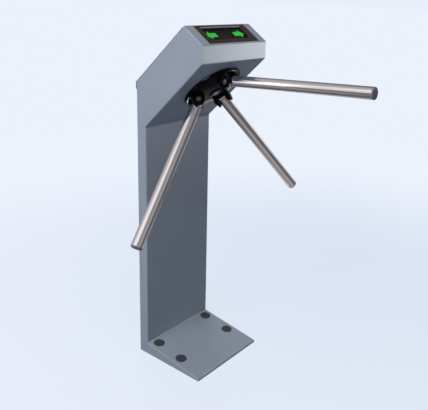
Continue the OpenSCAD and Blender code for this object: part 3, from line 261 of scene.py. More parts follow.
@dataclass(frozen=True)
class PolishedTube(Finish):
    """Stainless tube, polished with fine lines round it and faint long streaks."""

    ring_mm: float = 0.35
    smear_mm: float = 22.0

    def paint(self, graph: Graph) -> None:
        """Adds the lines and the streaks, which follow the piece's own UV map."""
        rings = graph.noise(self.ring_mm, 2.0, graph.place(Grain.WRAPPED, (0.02, 1.0, 1.0)))
        smears = graph.noise(self.smear_mm, 3.0, graph.place(Grain.WRAPPED, (1.0, 0.35, 1.0)))
        graph.tint(smears, 0.04)
        graph.vary(smears, 0.03, 0.05)
        graph.relief(0.12, (rings, 0.002))


@dataclass(frozen=True)
class MachinedMetal(Finish):
    """Turned or milled metal with fine tool lines and slight staining."""

    line_mm: float = 0.5
    stretch: Triple = (0.06, 1.0, 1.0)
    stain_mm: float = 14.0

    def paint(self, graph: Graph) -> None:
        """Adds the tool lines and the stains."""
        lines = graph.noise(self.line_mm, 2.0, graph.place(Grain.SOLID, self.stretch))
        graph.tint(graph.noise(self.stain_mm, 3.0), 0.07)
        graph.vary(lines, 0.06, 0.08)
        graph.relief(0.4, (lines, 0.01))


@dataclass(frozen=True)
class ZincPlate(Finish):
    """Zinc-plated sheet with a faint crystal pattern."""

    crystal_mm: float = 9.0
    fine_mm: float = 0.8

    def paint(self, graph: Graph) -> None:
        """Adds the crystals and a fine relief."""
        crystals = graph.pattern("Voronoi", self.crystal_mm, Randomness=1.0)
        graph.tint(crystals, 0.06)
        graph.vary(crystals, 0.07, 0.09)
        graph.relief(0.3, (graph.noise(self.fine_mm), 0.01))


@dataclass(frozen=True)
class Enamel(Finish):
    """Thick gloss enamel on a casting, with a soft orange peel."""

    peel_mm: float = 3.5
    peel_depth: float = 0.05
    cast_mm: float = 16.0
    cast_depth: float = 0.10
    gloss: float = 0.03

    def paint(self, graph: Graph) -> None:
        """Adds the uneven casting and the peel over it."""
        cast = graph.noise(self.cast_mm)
        graph.set(Specular_IOR_Level=self.gloss)
        graph.tint(cast, 0.25)
        graph.relief(0.5, (cast, self.cast_depth), (graph.noise(self.peel_mm, 1.0), self.peel_depth))


@dataclass(frozen=True)
class Moulded(Finish):
    """Moulded plastic or rubber with a spark-eroded grain."""

    grain_mm: float = 0.7
    grain_depth: float = 0.03
    spread: float = 0.12
    gloss: float = 0.5
    wear_mm: float = 18.0

    def paint(self, graph: Graph) -> None:
        """Adds the grain and the wear."""
        wear = graph.noise(self.wear_mm, 3.0)
        graph.set(Specular_IOR_Level=self.gloss)
        graph.tint(wear, self.spread)
        graph.vary(wear, 0.06, 0.08)
        graph.relief(0.6, (graph.noise(self.grain_mm, 3.0), self.grain_depth))


@dataclass(frozen=True)
class SmokedPane(Finish):
    """Smoked clear pane with a faint film of dust."""

    dust_mm: float = 6.0

    def paint(self, graph: Graph) -> None:
        """Lets light through and adds the dust."""
        graph.set(Transmission_Weight=0.98, IOR=1.06)
        graph.vary(graph.noise(self.dust_mm, 4.0), 0.0, 0.06)


@dataclass(frozen=True)
class LitLens(Finish):
    """Diffusing lens over small lamps, brighter and yellower over each lamp."""

    glow: Colour = (0.0, 1.0, 0.12)
    core: Colour = (0.40, 1.0, 0.06)
    strength: float = 1.5
    lamp_mm: float = 7.0

    def paint(self, graph: Graph) -> None:
        """Adds the light of the lamps behind the lens."""
        lamps = graph.pattern("Voronoi", self.lamp_mm, graph.place(Grain.WRAPPED), Randomness=0.0)
        light = graph.ramp(lamps, [(0.0, self.core), (0.30, self.glow)])
        graph.set(Emission_Color=light, Emission_Strength=self.strength)


@dataclass(frozen=True)
class CircuitBoard(Finish):
    """Green circuit board with copper tracks under the lacquer."""

    track_mm: float = 2.4

    def paint(self, graph: Graph) -> None:
        """Adds the tracks."""
        light, dark, copper = ((*shade(self.colour, share), 1.0) for share in (1.0, 0.8, 1.7))
        tracks = graph.pattern(
            "Brick", 4 * self.track_mm, Color1=light, Color2=dark, Mortar=copper, Mortar_Size=0.03
        )
        graph.set(Base_Color=tracks)
        graph.relief(0.4, (tracks.outputs["Fac"], 0.03))


@dataclass(frozen=True)
class WoundCoil(Finish):
    """Copper coil under amber tape: close turns round the coil's axis."""

    turn_mm: float = 0.8

    def paint(self, graph: Graph) -> None:
        """Adds the turns."""
        turns = graph.pattern("Wave", 2 * self.turn_mm, bands_direction="X").outputs["Fac"]
        graph.tint(turns, 0.3)
        graph.relief(0.6, (turns, 0.15))


@dataclass(frozen=True)
class Patch:
    """A painted bright patch of the floor, which only the polished pieces' reflections see; its reaches are in
    metres.
    """

    where: Triple
    full: float
    edge: float
    change: float


@dataclass(frozen=True)
class PaleFloor(Finish):
    """Studio floor, of which the camera and the polished pieces see different looks.

    The camera sees a pale colour, darker in a painted shade pool beside the machine, with the
    machine's shadow and faint reflection near it. Polished pieces mirror painted bright patches instead.
    """

    seen: Colour = (0.835, 0.885, 0.965)
    painted_shade_pool: Colour = (0.770, 0.835, 0.955)
    painted_shade_middle: Triple = (0.9, 0.0, 0.0)
    painted_shade_reach: Pair = (0.25, 1.5)
    sheen: float = 0.25
    cloud_mm: float = 40.0
    mirrored: Colour = (1.0, 0.955, 0.965)
    mirror_base: float = 0.20
    patches: tuple[Patch, ...] = (
        Patch((1.6, 1.3, 0.0), 0.80, 1.25, 1.00),
        Patch((0.3, -0.85, 0.0), 0.20, 0.95, 0.35),
        Patch((0.48, 0.28, 0.0), 0.22, 0.60, 0.60),
        Patch((-1.2, 0.9, 0.0), 0.50, 1.10, 0.28),
    )
    shadow_share: float = 0.38
    lift: float = 0.93
    near: float = 0.9
    far: float = 3.2

    def paint(self, graph: Graph) -> None:
        """Adds what the camera sees, then the painted glow that the polished pieces mirror."""
        graph.set(Specular_IOR_Level=self.sheen)
        graph.vary(graph.noise(self.cloud_mm), 0.0, 0.04)
        # Painted shade: the floor's glow turns darker and bluer toward the pool beside the machine
        painted_shade_pool = graph.ease(graph.distance(self.painted_shade_middle), *self.painted_shade_reach)
        fade = graph.ease(graph.distance(), self.near, self.far, 1.0 - self.shadow_share, 1.0)
        level = graph.add("Math", fade, -self.lift, 1.0 + self.lift, operation="MULTIPLY_ADD")
        hue = graph.ramp(painted_shade_pool, [(0.0, self.painted_shade_pool), (1.0, self.seen)])
        glow = graph.add("Emission", Color=hue, Strength=level)
        path = graph.add("LightPath")
        share = graph.add("Math", graph.seen(path), fade, operation="MULTIPLY")
        blend = graph.add("MixShader", share, graph.shader, glow)
        # Painted reflection: glossy rays see the floor glowing, brighter in the patches, in place of its lit
        # surface
        bright = [
            graph.ease(graph.distance(patch.where), patch.full, patch.edge, patch.change, 0.0)
            for patch in self.patches
        ]
        light = graph.total(self.mirror_base, bright)
        mirrored = graph.add("Emission", Color=(*self.mirrored, 1.0), Strength=light)
        glossy = graph.add("MixShader", path.outputs["Is Glossy Ray"], blend, mirrored)
        graph.feed(graph.output, "Surface", glossy)


class Finishes:
    """Every finish of the machine, each made a material once, when first asked for."""

    coat = PowderCoat("grey_powder_coat", "powder_coat", (0.270, 0.305, 0.365), 0.52)
    plug = Moulded("black_rubber", "soft_black", (0.041, 0.042, 0.047), 0.62, grain_mm=1.0)
    bezel = Moulded(
        "dark_bezel_moulding", "bezel_plastic", (0.026, 0.017, 0.014), 0.38, spread=0.45, gloss=0.2
    )
    pane = SmokedPane("smoked_pane", "smoked_pane", (0.34, 0.32, 0.29), 0.03)
    lens = LitLens("green_arrow_lens", "green_light", (0.0, 0.12, 0.03), 0.35)
    board = CircuitBoard("green_circuit_board", "circuit_board", (0.018, 0.10, 0.045), 0.4)
    matrix = Moulded("dark_display_board", "circuit_board", (0.016, 0.018, 0.012), 0.5, spread=0.3)
    zinc = ZincPlate("zinc_plated_sheet", "zinc_plate", (0.60, 0.62, 0.66), 0.38, metallic=1.0)
    steel = MachinedMetal("machined_steel", "machined_steel", (0.58, 0.57, 0.56), 0.30, metallic=1.0)
    cast = MachinedMetal(
        "cast_light_metal", "sleeve_metal", (0.66, 0.67, 0.69), 0.45, metallic=1.0,
        line_mm=1.2, stretch=(1.0, 1.0, 1.0),
    )
    oxide = MachinedMetal("black_oxide_steel", "dark_fastener", (0.05, 0.05, 0.055), 0.33, metallic=0.7)
    stud = MachinedMetal("plated_fastener", "dark_fastener", (0.24, 0.24, 0.27), 0.26, metallic=1.0)
    # Plated metal, partly painted: its blue-violet tint is painted reflection, the colour of the highlight on
    # the hub's middle
    plated = MachinedMetal("dark_plated_cap", "chrome_metal", (0.26, 0.26, 0.38), 0.28, metallic=1.0)
    # Painted highlight: a lighter grey copy of the bezel plastic, for the window's far wall where it catches
    # light
    lip = Moulded("bezel_lip_moulding", "bezel_plastic", (0.42, 0.42, 0.49), 0.35)
    motor = Moulded("motor_paint", "motor_body", (0.05, 0.055, 0.065), 0.38, spread=0.2)
    coil = WoundCoil("wound_coil", "coil_wrap", (0.42, 0.13, 0.04), 0.35)
    black = Moulded("black_plastic", "hard_black", (0.045, 0.045, 0.052), 0.42)
    end_cap = Moulded("grey_end_cap", "hard_black", (0.20, 0.19, 0.23), 0.45)
    brass = MachinedMetal("machined_brass", "brass_metal", (0.72, 0.53, 0.25), 0.30, metallic=1.0)
    enamel = Enamel("black_gloss_enamel", "hub_enamel", (0.003, 0.003, 0.004), 0.16)
    tube = PolishedTube("polished_stainless", "stainless", (0.60, 0.58, 0.585), 0.17, metallic=1.0)
    chrome = MachinedMetal("polished_chrome", "chrome_metal", (0.80, 0.80, 0.82), 0.10, metallic=1.0)
    floor = PaleFloor("pale_studio_floor", "", (0.238, 0.280, 0.362), 0.30)

    def __init__(self) -> None:
        """Starts with no material made."""
        self.made: dict[str, bpy.types.Material] = {}

    def material(self, finish: Finish) -> bpy.types.Material:
        """Returns the finish's material, making it when first asked for."""
        if finish.name not in self.made:
            self.made[finish.name] = finish.build()
            LOG.info("finish %s", finish.name)
        return self.made[finish.name]


# Meshes


ACROSS = Matrix(((0, 0, 1, 0), (1, 0, 0, 0), (0, 1, 0, 0), (0, 0, 0, 1)))
"""Turns an outline drawn in front-to-back and height into the upright plane, with z across the width."""

SIDEWAYS = Matrix.Rotation(math.radians(90.0), 4, "Y")
"""Lays a z axis across the width."""

X_AXIS = Vector((1.0, 0.0, 0.0))
TOUCH = 0.02
"""Hairline, in millimetres, between pieces that meet."""
CUT = 0.3
"""Room, in millimetres, round a piece in the hole that takes it."""


def placed(origin: Vector, z_axis: Vector, x_axis: Vector) -> Matrix:
    """Returns the place whose origin and axes are given; y follows from z and x."""
    z_axis = z_axis.normalized()
    y_axis = z_axis.cross(x_axis).normalized()
    x_axis = y_axis.cross(z_axis)
    turn = Matrix((x_axis, y_axis, z_axis)).transposed()
    return Matrix.Translation(origin) @ turn.to_4x4()


def moved(x: float, y: float = 0.0, z: float = 0.0) -> Matrix:
    """Returns a shift given in millimetres."""
    return Matrix.Translation(Vector((x, y, z)) * MM)


def arc(radius: float, first: int, last: int, step: int) -> list[Pair]:
    """Returns points on a circle about the origin, from one whole angle in degrees to another."""
    angles = [math.radians(angle) for angle in range(first, last + 1, step)]
    return [(radius * math.cos(angle), radius * math.sin(angle)) for angle in angles]


def rectangle(width: float, length: float) -> list[Pair]:
    """Returns the corners of a rectangle about the origin."""
    x, y = width / 2, length / 2
    return [(-x, -y), (x, -y), (x, y), (-x, y)]


def joint(name: str) -> dict:
    """Returns the record's joint of that name."""
    return next(entry for entry in frame["joints"] if entry["name"] == name)


def joint_place(name: str) -> Matrix:
    """Returns the place of a joint, z along its axis and x across the width."""
    turn = joint(name)
    return placed(Vector(turn["pos_m"]), Vector(turn["axis"]), X_AXIS)


def middle(node: str) -> Vector:
    """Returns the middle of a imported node's box."""
    low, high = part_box(node)
    return (low + high) / 2


class Form:
    """A mesh in the making: shapes drawn in millimetres at one place."""

    def __init__(self, place: Matrix | None = None) -> None:
        """Starts an empty mesh.

        Args:
            place: Where the shapes stand, in metres; the row frame itself when left out.
        """
        self.bm = bmesh.new()
        self.place = Matrix.Identity(4) if place is None else place

    def outline(self, points: Sequence[Pair], height: float = 0.0) -> bmesh.types.BMFace:
        """Adds a flat face with the given corners."""
        corners = [self.bm.verts.new((x, y, height)) for x, y in points]
        return self.bm.faces.new(corners)

    def prism(self, points: Sequence[Pair], low: float, high: float) -> "Form":
        """Adds an outline extruded from one height to another."""
        face = self.outline(points, low)
        self.pull([face], high - low, use_keep_orig=True)
        return self

    def pull(self, faces: Sequence[bmesh.types.BMFace], rise: float, **options: bool) -> None:
        """Extrudes faces along z."""
        grown = bmesh.ops.extrude_face_region(self.bm, geom=faces, **options)
        corners = [item for item in grown["geom"] if isinstance(item, bmesh.types.BMVert)]
        bmesh.ops.translate(self.bm, vec=(0.0, 0.0, rise), verts=corners)

    def block(self, low: Triple, high: Triple) -> "Form":
        """Adds a box between two corners."""
        (x0, y0, z0), (x1, y1, z1) = low, high
        return self.prism([(x0, y0), (x1, y0), (x1, y1), (x0, y1)], z0, z1)

    def turned(self, profile: Sequence[Pair], steps: int = 64) -> "Form":
        """Adds a shape of revolution about z from points of radius and height."""
        ring = [self.bm.verts.new((radius, 0.0, height)) for radius, height in profile]
        edges = [self.bm.edges.new(pair) for pair in zip(ring, ring[1:])]
        bmesh.ops.spin(
            self.bm, geom=ring + edges, cent=(0, 0, 0), axis=(0, 0, 1), dvec=(0, 0, 0),
            angle=math.tau, steps=steps, use_merge=True, use_duplicate=False,
        )
        return self

    def rod(self, radius: float, low: float, high: float, steps: int = 64) -> "Form":
        """Adds a plain cylinder between two heights."""
        return self.turned([(0.0, low), (radius, low), (radius, high), (0.0, high)], steps)

    def bevel(self, width: float, segments: int, wanted: Callable[[bmesh.types.BMEdge], bool]) -> "Form":
        """Rounds the edges that a test picks."""
        self.tidy()
        edges = [edge for edge in self.bm.edges if wanted(edge)]
        bmesh.ops.bevel(
            self.bm, geom=edges, offset=width, offset_type="OFFSET", segments=segments,
            profile=0.5, affect="EDGES", clamp_overlap=True, material=-1,
        )
        return self

    def tidy(self) -> "Form":
        """Merges doubled corners and turns every face outward."""
        bmesh.ops.remove_doubles(self.bm, verts=self.bm.verts, dist=1e-4)
        bmesh.ops.recalc_face_normals(self.bm, faces=self.bm.faces)
        return self

    def object(self, name: str) -> bpy.types.Object:
        """Makes the mesh an object at the origin, with its place in the mesh."""
        self.tidy()
        self.bm.transform(self.place @ Matrix.Scale(MM, 4))
        mesh = bpy.data.meshes.new(name)
        self.bm.to_mesh(mesh)
        self.bm.free()
        thing = bpy.data.objects.new(name, mesh)
        bpy.context.scene.collection.objects.link(thing)
        return thing


def adjust(block: bpy.types.bpy_struct, **values: object) -> None:
    """Sets properties of a modifier, a lamp, a camera or an object."""
    for key, value in values.items():
        setattr(block, key, value)


def sharp(degrees: float) -> Callable[[bmesh.types.BMEdge], bool]:
    """Returns a test that picks the edges whose faces meet at more than the angle."""
    limit = math.radians(degrees)

    def test(edge: bmesh.types.BMEdge) -> bool:
        """Says whether the edge is sharper than the limit."""
        return edge.is_manifold and edge.calc_face_angle(0.0) > limit

    return test


def settle(thing: bpy.types.Object) -> None:
    """Applies an object's modifiers to its mesh."""
    graph = bpy.context.evaluated_depsgraph_get()
    graph.update()
    mesh = bpy.data.meshes.new_from_object(thing.evaluated_get(graph))
    old = thing.data
    thing.modifiers.clear()
    thing.data = mesh
    mesh.name = thing.name
    bpy.data.meshes.remove(old)


def combine(thing: bpy.types.Object, tools: Sequence[bpy.types.Object], how: str = "DIFFERENCE") -> None:
    """Cuts tools from an object, or joins or keeps what they share, and removes the tools."""
    for tool in tools:
        adjust(thing.modifiers.new(tool.name, "BOOLEAN"), operation=how, solver="EXACT", object=tool)
    settle(thing)
    for tool in tools:
        bpy.data.objects.remove(tool)


def smooth(thing: bpy.types.Object, degrees: float = 35.0) -> None:
    """Shades a mesh smooth, keeps edges above the angle sharp and lets large faces stay flat."""
    bm = bmesh.new()
    bm.from_mesh(thing.data)
    bmesh.ops.remove_doubles(bm, verts=bm.verts, dist=1e-6)
    picked = sharp(degrees)
    for face in bm.faces:
        face.smooth = True
    for edge in bm.edges:
        edge.smooth = not picked(edge)
    bm.to_mesh(thing.data)
    bm.free()
    adjust(thing.modifiers.new("weighted_normals", "WEIGHTED_NORMAL"), keep_sharp=True)


def wrap(thing: bpy.types.Object, place: Matrix, flat: bool = False) -> None:
    """Gives a piece a UV map in metres: round and along an axis, or flat across it.

    Args:
        thing: The piece, already in its place.
        place: The place whose z is the axis.
        flat: Whether the map lies square on the axis.
    """
    inverse = place.inverted()
    layer = thing.data.uv_layers.new(name="wrap")
    for polygon in thing.data.polygons:
        points = [inverse @ thing.data.vertices[index].co for index in polygon.vertices]
        first = math.atan2(points[0].y, points[0].x)
        for loop, point in zip(polygon.loop_indices, points):
            angle = math.atan2(point.y, point.x)
            angle += math.tau * round((first - angle) / math.tau)
            radius = math.hypot(point.x, point.y)
            layer.data[loop].uv = (point.x, point.y) if flat else (angle * radius, point.z)


class Assembly:
    """Base of the sub-assemblies: it dresses pieces, hangs them on bodies and reports them."""

    def __init__(self, finishes: Finishes) -> None:
        """Keeps the finishes that its pieces take."""
        self.finishes = finishes

    def dress(
        self, thing: bpy.types.Object, finish: Finish, body: str,
        replaces: Sequence[str] = (), degrees: float = 35.0,
    ) -> None:
        """Finishes a new piece and hangs it on its body.

        Args:
            thing: The new piece.
            finish: What it is finished in.
            body: The moving or fixed body that it rides on.
            replaces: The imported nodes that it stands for.
            degrees: The angle above which its edges stay sharp.
        """
        smooth(thing, degrees)
        self.coat(thing, finish)
        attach(thing, body)
        if replaces:
            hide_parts(*replaces)
        LOG.info("piece %s on %s: %d faces", thing.name, body, len(thing.data.polygons))

    def coat(self, thing: bpy.types.Object, finish: Finish) -> None:
        """Makes a finish the only material of a piece."""
        thing.data.materials.clear()
        thing.data.materials.append(self.finishes.material(finish))

    def carry(self, finish: Finish, *nodes: str) -> None:
        """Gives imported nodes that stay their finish."""
        for node in nodes:
            self.coat(frame["nodes"][node], finish)
            LOG.info("node %s in %s", node, finish.name)


# Sub-assemblies


@dataclass
class Outline:
    """Driving sizes of the sheet housing, in millimetres, in front-to-back and height."""

    width: float = 280.0
    height: float = 1050.0
    column_y: float = 72.5
    column_d: float = 36.0
    skin: float = 2.5
    head_reach: float = 218.0
    nose_h: float = 51.0
    nose_drop: float = 45.5
    crown_reach: float = 151.0
    under_drop: float = 299.0
    back_drop: float = 168.0
    foot_reach: float = 222.0
    foot_back_h: float = 37.0
    foot_tip_h: float = 7.0
    lid_t: float = 2.0
    lid_gap: float = 0.4
    crest_land: float = 3.0
    pin_depth: float = 3.2

    @property
    def back_y(self) -> float:
        """Front-to-back place of the column's rear face."""
        return self.column_y + self.column_d

    @property
    def crown(self) -> Vector:
        """The top edge of the head."""
        return Vector((self.column_y - self.crown_reach, self.height))

    @property
    def nose(self) -> Vector:
        """The upper edge of the nose."""
        return Vector((self.column_y - self.head_reach, self.height - self.nose_drop))

    @property
    def back_corner(self) -> Vector:
        """The corner between the slope and the column's rear face."""
        return Vector((self.back_y, self.height - self.back_drop))

    @property
    def under_corner(self) -> Vector:
        """The corner between the underside and the column."""
        return Vector((self.column_y, self.height - self.under_drop))

    def corners(self) -> list[Pair]:
        """Returns the corners of the whole side view."""
        return [
            (self.back_y, 0.0), tuple(self.back_corner), tuple(self.crown), tuple(self.nose),
            (self.nose.x, self.nose.y - self.nose_h), tuple(self.under_corner),
            (self.column_y, self.foot_back_h),
            (self.column_y - self.foot_reach, self.foot_tip_h), (self.column_y - self.foot_reach, 0.0),
        ]

    def slope(self) -> Matrix:
        """Returns the place on the top edge with y down the slope and z out of it."""
        return self.on_edge(self.back_corner)

    def deck(self) -> Matrix:
        """Returns the place on the top edge with y down the deck toward the nose and z into the head."""
        return self.on_edge(self.nose)

    def on_edge(self, corner: Vector) -> Matrix:
        """Returns the place on the top edge whose y runs toward a corner of the side view."""
        run = corner - self.crown
        down = Vector((0.0, run.x, run.y))
        origin = Vector((0.0, self.crown.x, self.crown.y)) * MM
        return placed(origin, X_AXIS.cross(down), X_AXIS)

    def foot_top(self, y: float) -> float:
        """Returns the height of the foot's sloping top at a front-to-back place."""
        rise = self.foot_back_h - self.foot_tip_h
        return self.foot_tip_h + (y - self.column_y + self.foot_reach) * rise / self.foot_reach


class Housing(Assembly):
    """Column, foot and head: one bent and welded sheet shell, with its four plugs."""

    bend = 4.0
    hub_hole_r = 37.0
    anchor_gap = (222.0, 98.0)
    access_r = 15.5
    plug_r = 17.5
    plug_h = 1.8
    clear = 20.0

    def __init__(self, finishes: Finishes, outline: Outline) -> None:
        """Keeps the outline that the shell is bent to."""
        super().__init__(finishes)
        self.outline = outline

    def build(self) -> None:
        """Builds the shell and the plugs, and finishes what stays inside them."""
        self.shell()
        for name, place in self.anchors():
            self.plug(f"foot_plug_{name}", place)
        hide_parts("foot_plugs")
        self.carry(Finishes.zinc, "base_plate", "foot_ribs")
        self.carry(Finishes.plug, "cable_bush")

    def shell(self) -> None:
        """Bends the shell, gives it its wall and cuts its openings."""
        sizes = self.outline
        half = sizes.width / 2
        form = Form(ACROSS).prism(sizes.corners(), -half, half).tidy()
        crest = sizes.crown

        def bent(edge: bmesh.types.BMEdge) -> bool:
            """Picks every bend but the floor line and the edges under the lid."""
            ends = [vertex.co for vertex in edge.verts]
            on_floor = all(end.y < self.bend for end in ends)
            on_crest = all((end.xy - crest).length < self.bend for end in ends)
            at_back = all((end.xy - sizes.back_corner).length < self.bend for end in ends)
            return not (on_floor or on_crest or at_back)

        form.bevel(self.bend, 5, bent)
        floor = [face for face in form.bm.faces if all(v.co.y < 1e-3 for v in face.verts)]
        bmesh.ops.delete(form.bm, geom=floor, context="FACES")
        shell = form.object("housing_shell")
        wall = shell.modifiers.new("wall", "SOLIDIFY")
        adjust(wall, thickness=sizes.skin * MM, offset=-1.0, use_even_offset=True)
        settle(shell)
        combine(shell, self.openings())
        self.dress(shell, Finishes.coat, "frame", ["housing"], 40.0)

    def openings(self) -> list[bpy.types.Object]:
        """Returns the solids that cut the shell's openings."""
        sizes = self.outline
        reach, high = 300.0, self.clear
        land = sizes.crest_land
        half = sizes.width / 2 + 1
        inner = sizes.width / 2 - sizes.skin
        seat = sizes.lid_t + sizes.lid_gap
        dip = sizes.pin_depth + sizes.lid_gap
        dip_end = land + dip + 1.0
        slope = sizes.slope()
        x, y = (size / 2 for size in Display.cut_out())
        mid = (sizes.nose - sizes.crown).length / 2
        tools = [
            Form(slope).block((-half, land, -seat), (half, reach, high)).object("cut_seat"),
            Form(slope).block((-half, land, -dip), (half, dip_end, high)).object("cut_dip"),
            Form(slope).block((-inner, land, -dip - 2), (inner, reach, high)).object("cut_mouth"),
            Form(HubTurret.place()).rod(self.hub_hole_r, -high / 2, high / 2).object("cut_hub"),
            Form(sizes.deck()).block((-x, mid - y, -high / 2), (x, mid + y, high / 2)).object("cut_deck"),
        ]
        for _, place in self.anchors():
            tools.append(Form(place).rod(self.access_r, -8.0, 8.0, 48).object("cut_access"))
        return tools

    def anchors(self) -> list[tuple[str, Matrix]]:
        """Returns each floor anchor's name and the place above it, square on the foot's top face."""
        width, depth = self.anchor_gap
        top = self.outline.foot_top
        upward = Vector((0.0, top(0.0) - top(1.0), 1.0))
        found = []
        for side in Side:
            for row, y in (("front", -depth / 2), ("rear", depth / 2)):
                spot = Vector((side.value * width / 2, y, top(y))) * MM
                found.append((f"{row}_{side.name.lower()}", placed(spot, upward, X_AXIS)))
        return found

    def plug(self, name: str, place: Matrix) -> None:
        """Builds one press-in plug: a dished button with a soft rim and a barbed stem."""
        radius, top = self.plug_r, self.plug_h
        stem, hollow = self.access_r - CUT, self.access_r - CUT - 1.8
        profile = [
            (0.0, top - 0.5), (radius * 0.62, top - 0.5), (radius * 0.68, top), (radius - 1.6, top),
            (radius - 0.5, top * 0.6), (radius, TOUCH), (stem, TOUCH), (stem, -2.8), (stem + 0.9, -3.7),
            (hollow, -6.1), (hollow, -0.9), (0.0, -0.9),
        ]
        piece = Form(place).turned(profile, 72).object(name)
        self.dress(piece, Finishes.plug, "frame", (), 50.0)


class Display(Assembly):
    """Dark frame, smoked pane and two lit arrows on the deck."""

    width = 212.0
    length = 74.0
    rim = 1.2
    depth = 10.0
    slant = 2.5
    lap = 4.0
    window = (168.0, 50.0)
    window_shift = 4.0
    pane_depth = 4.5
    pane_t = 0.8
    seat = 2.0
    arrow = (44.0, 32.0)
    arrow_x = 59.0
    head_share = 0.45
    stem_share = 0.25
    lens_t = 0.9
    board_depth = 14.0

    def __init__(self, finishes: Finishes, outline: Outline) -> None:
        """Works out the place in the middle of the deck, z into the head."""
        super().__init__(finishes)
        middle_y = (outline.nose - outline.crown).length / 2
        self.place = outline.deck() @ moved(0.0, middle_y)
        self.opening = self.place @ moved(0.0, -self.window_shift)

    @classmethod
    def cut_out(cls) -> Pair:
        """Returns the size of the hole in the deck that takes the frame."""
        return (cls.width - 2 * cls.lap, cls.length - 2 * cls.lap)

    def build(self) -> None:
        """Builds the frame, the pane and the arrows."""
        self.bezel()
        self.pane()
        for side in Side:
            self.light(side)
        self.carry(Finishes.matrix, "indicator_board")

    def bezel(self) -> None:
        """Builds the frame: a rounded rim on the deck with a stepped and bevelled opening."""
        wide, long = self.window
        cut_w, cut_l = self.cut_out()
        form = Form(self.place)
        form.prism(rectangle(self.width, self.length), -self.rim, 0.0)
        form.bevel(0.7, 3, lambda edge: all(v.co.z < -self.rim / 2 for v in edge.verts))
        frame_piece = form.object("display_frame")
        body = Form(self.place).prism(rectangle(cut_w - 2 * CUT, cut_l - 2 * CUT), -0.2, self.depth)
        combine(frame_piece, [body.object("frame_body")], "UNION")
        through = self.depth + 5.0
        seat = rectangle(wide + 2 * self.seat, long + 2 * self.seat)
        tools = [
            Form(self.opening).prism(rectangle(wide, long), -5.0, through).object("cut_window"),
            Form(self.opening).prism(seat, self.pane_depth, through).object("cut_seat"),
            self.funnel().object("cut_bevel"),
        ]
        combine(frame_piece, tools)
        self.dress(frame_piece, Finishes.bezel, "frame", ["display_bezel"], 30.0)
        # A thin strip over the window's far slope and wall, in the lighter lip finish: a painted highlight on
        # that wall
        edge, skin, deep = -long / 2, 0.2, 3.4
        top, foot = -self.rim, self.slant - self.rim
        strip = [
            (edge, deep), (edge, foot), (edge - self.slant + skin, skin + top),
            (edge - self.slant + 2 * skin, top), (edge + skin, foot - skin), (edge + skin, deep),
        ]
        lip = Form(self.opening @ ACROSS).prism(strip, -wide / 2, wide / 2).tidy()
        self.dress(lip.object("bezel_lip"), Finishes.lip, "frame")

    def funnel(self) -> Form:
        """Returns the slanting cut round the window, wider at the deck."""
        wide, long = self.window
        slant = self.slant
        form = Form(self.opening).prism(rectangle(wide, long), -self.rim, slant - self.rim).tidy()
        for vertex in form.bm.verts:
            if vertex.co.z < 0.0:
                vertex.co.x += math.copysign(slant, vertex.co.x)
                vertex.co.y += math.copysign(slant, vertex.co.y)
        level = [face for face in form.bm.faces if abs(face.normal.z) > 0.9]
        top = [face for face in level if face.calc_center_median().z < 0.0]
        form.pull(top, -2.0)
        bmesh.ops.delete(form.bm, geom=top, context="FACES_ONLY")
        return form

    def pane(self) -> None:
        """Builds the pane with softened edges."""
        wide, long = (size + 2 * self.seat - 2 * CUT for size in self.window)
        form = Form(self.opening)
        form.prism(rectangle(wide, long), self.pane_depth + TOUCH, self.pane_depth + self.pane_t)
        form.bevel(0.3, 2, sharp(60.0))
        self.dress(form.object("display_window"), Finishes.pane, "frame", ["display_pane"])

    def light(self, side: Side) -> None:
        """Builds one arrow lens that points outward."""
        long, wide = self.arrow
        neck = long / 2 - long * self.head_share
        stem = wide * self.stem_share
        points = [
            (long / 2, 0.0), (neck, wide / 2), (neck, stem), (-long / 2, stem),
            (-long / 2, -stem), (neck, -stem), (neck, -wide / 2),
        ]
        place = self.opening @ moved(side.value * self.arrow_x)
        outline = [(side.value * x, y) for x, y in points]
        front = self.pane_depth + self.pane_t + CUT
        name = side.name.lower()
        lens = Form(place)
        lens.prism(outline, front, front + self.lens_t)
        lens.bevel(0.3, 2, lambda edge: all(v.co.z < front + self.lens_t / 2 for v in edge.verts))
        piece = lens.object(f"arrow_light_{name}")
        wrap(piece, place, flat=True)
        self.dress(piece, Finishes.lens, "frame", [f"{name}_arrow_light"])
        housing = Form(place).prism(outline, front + self.lens_t, self.board_depth)
        self.dress(housing.object(f"arrow_housing_{name}"), Finishes.matrix, "frame")


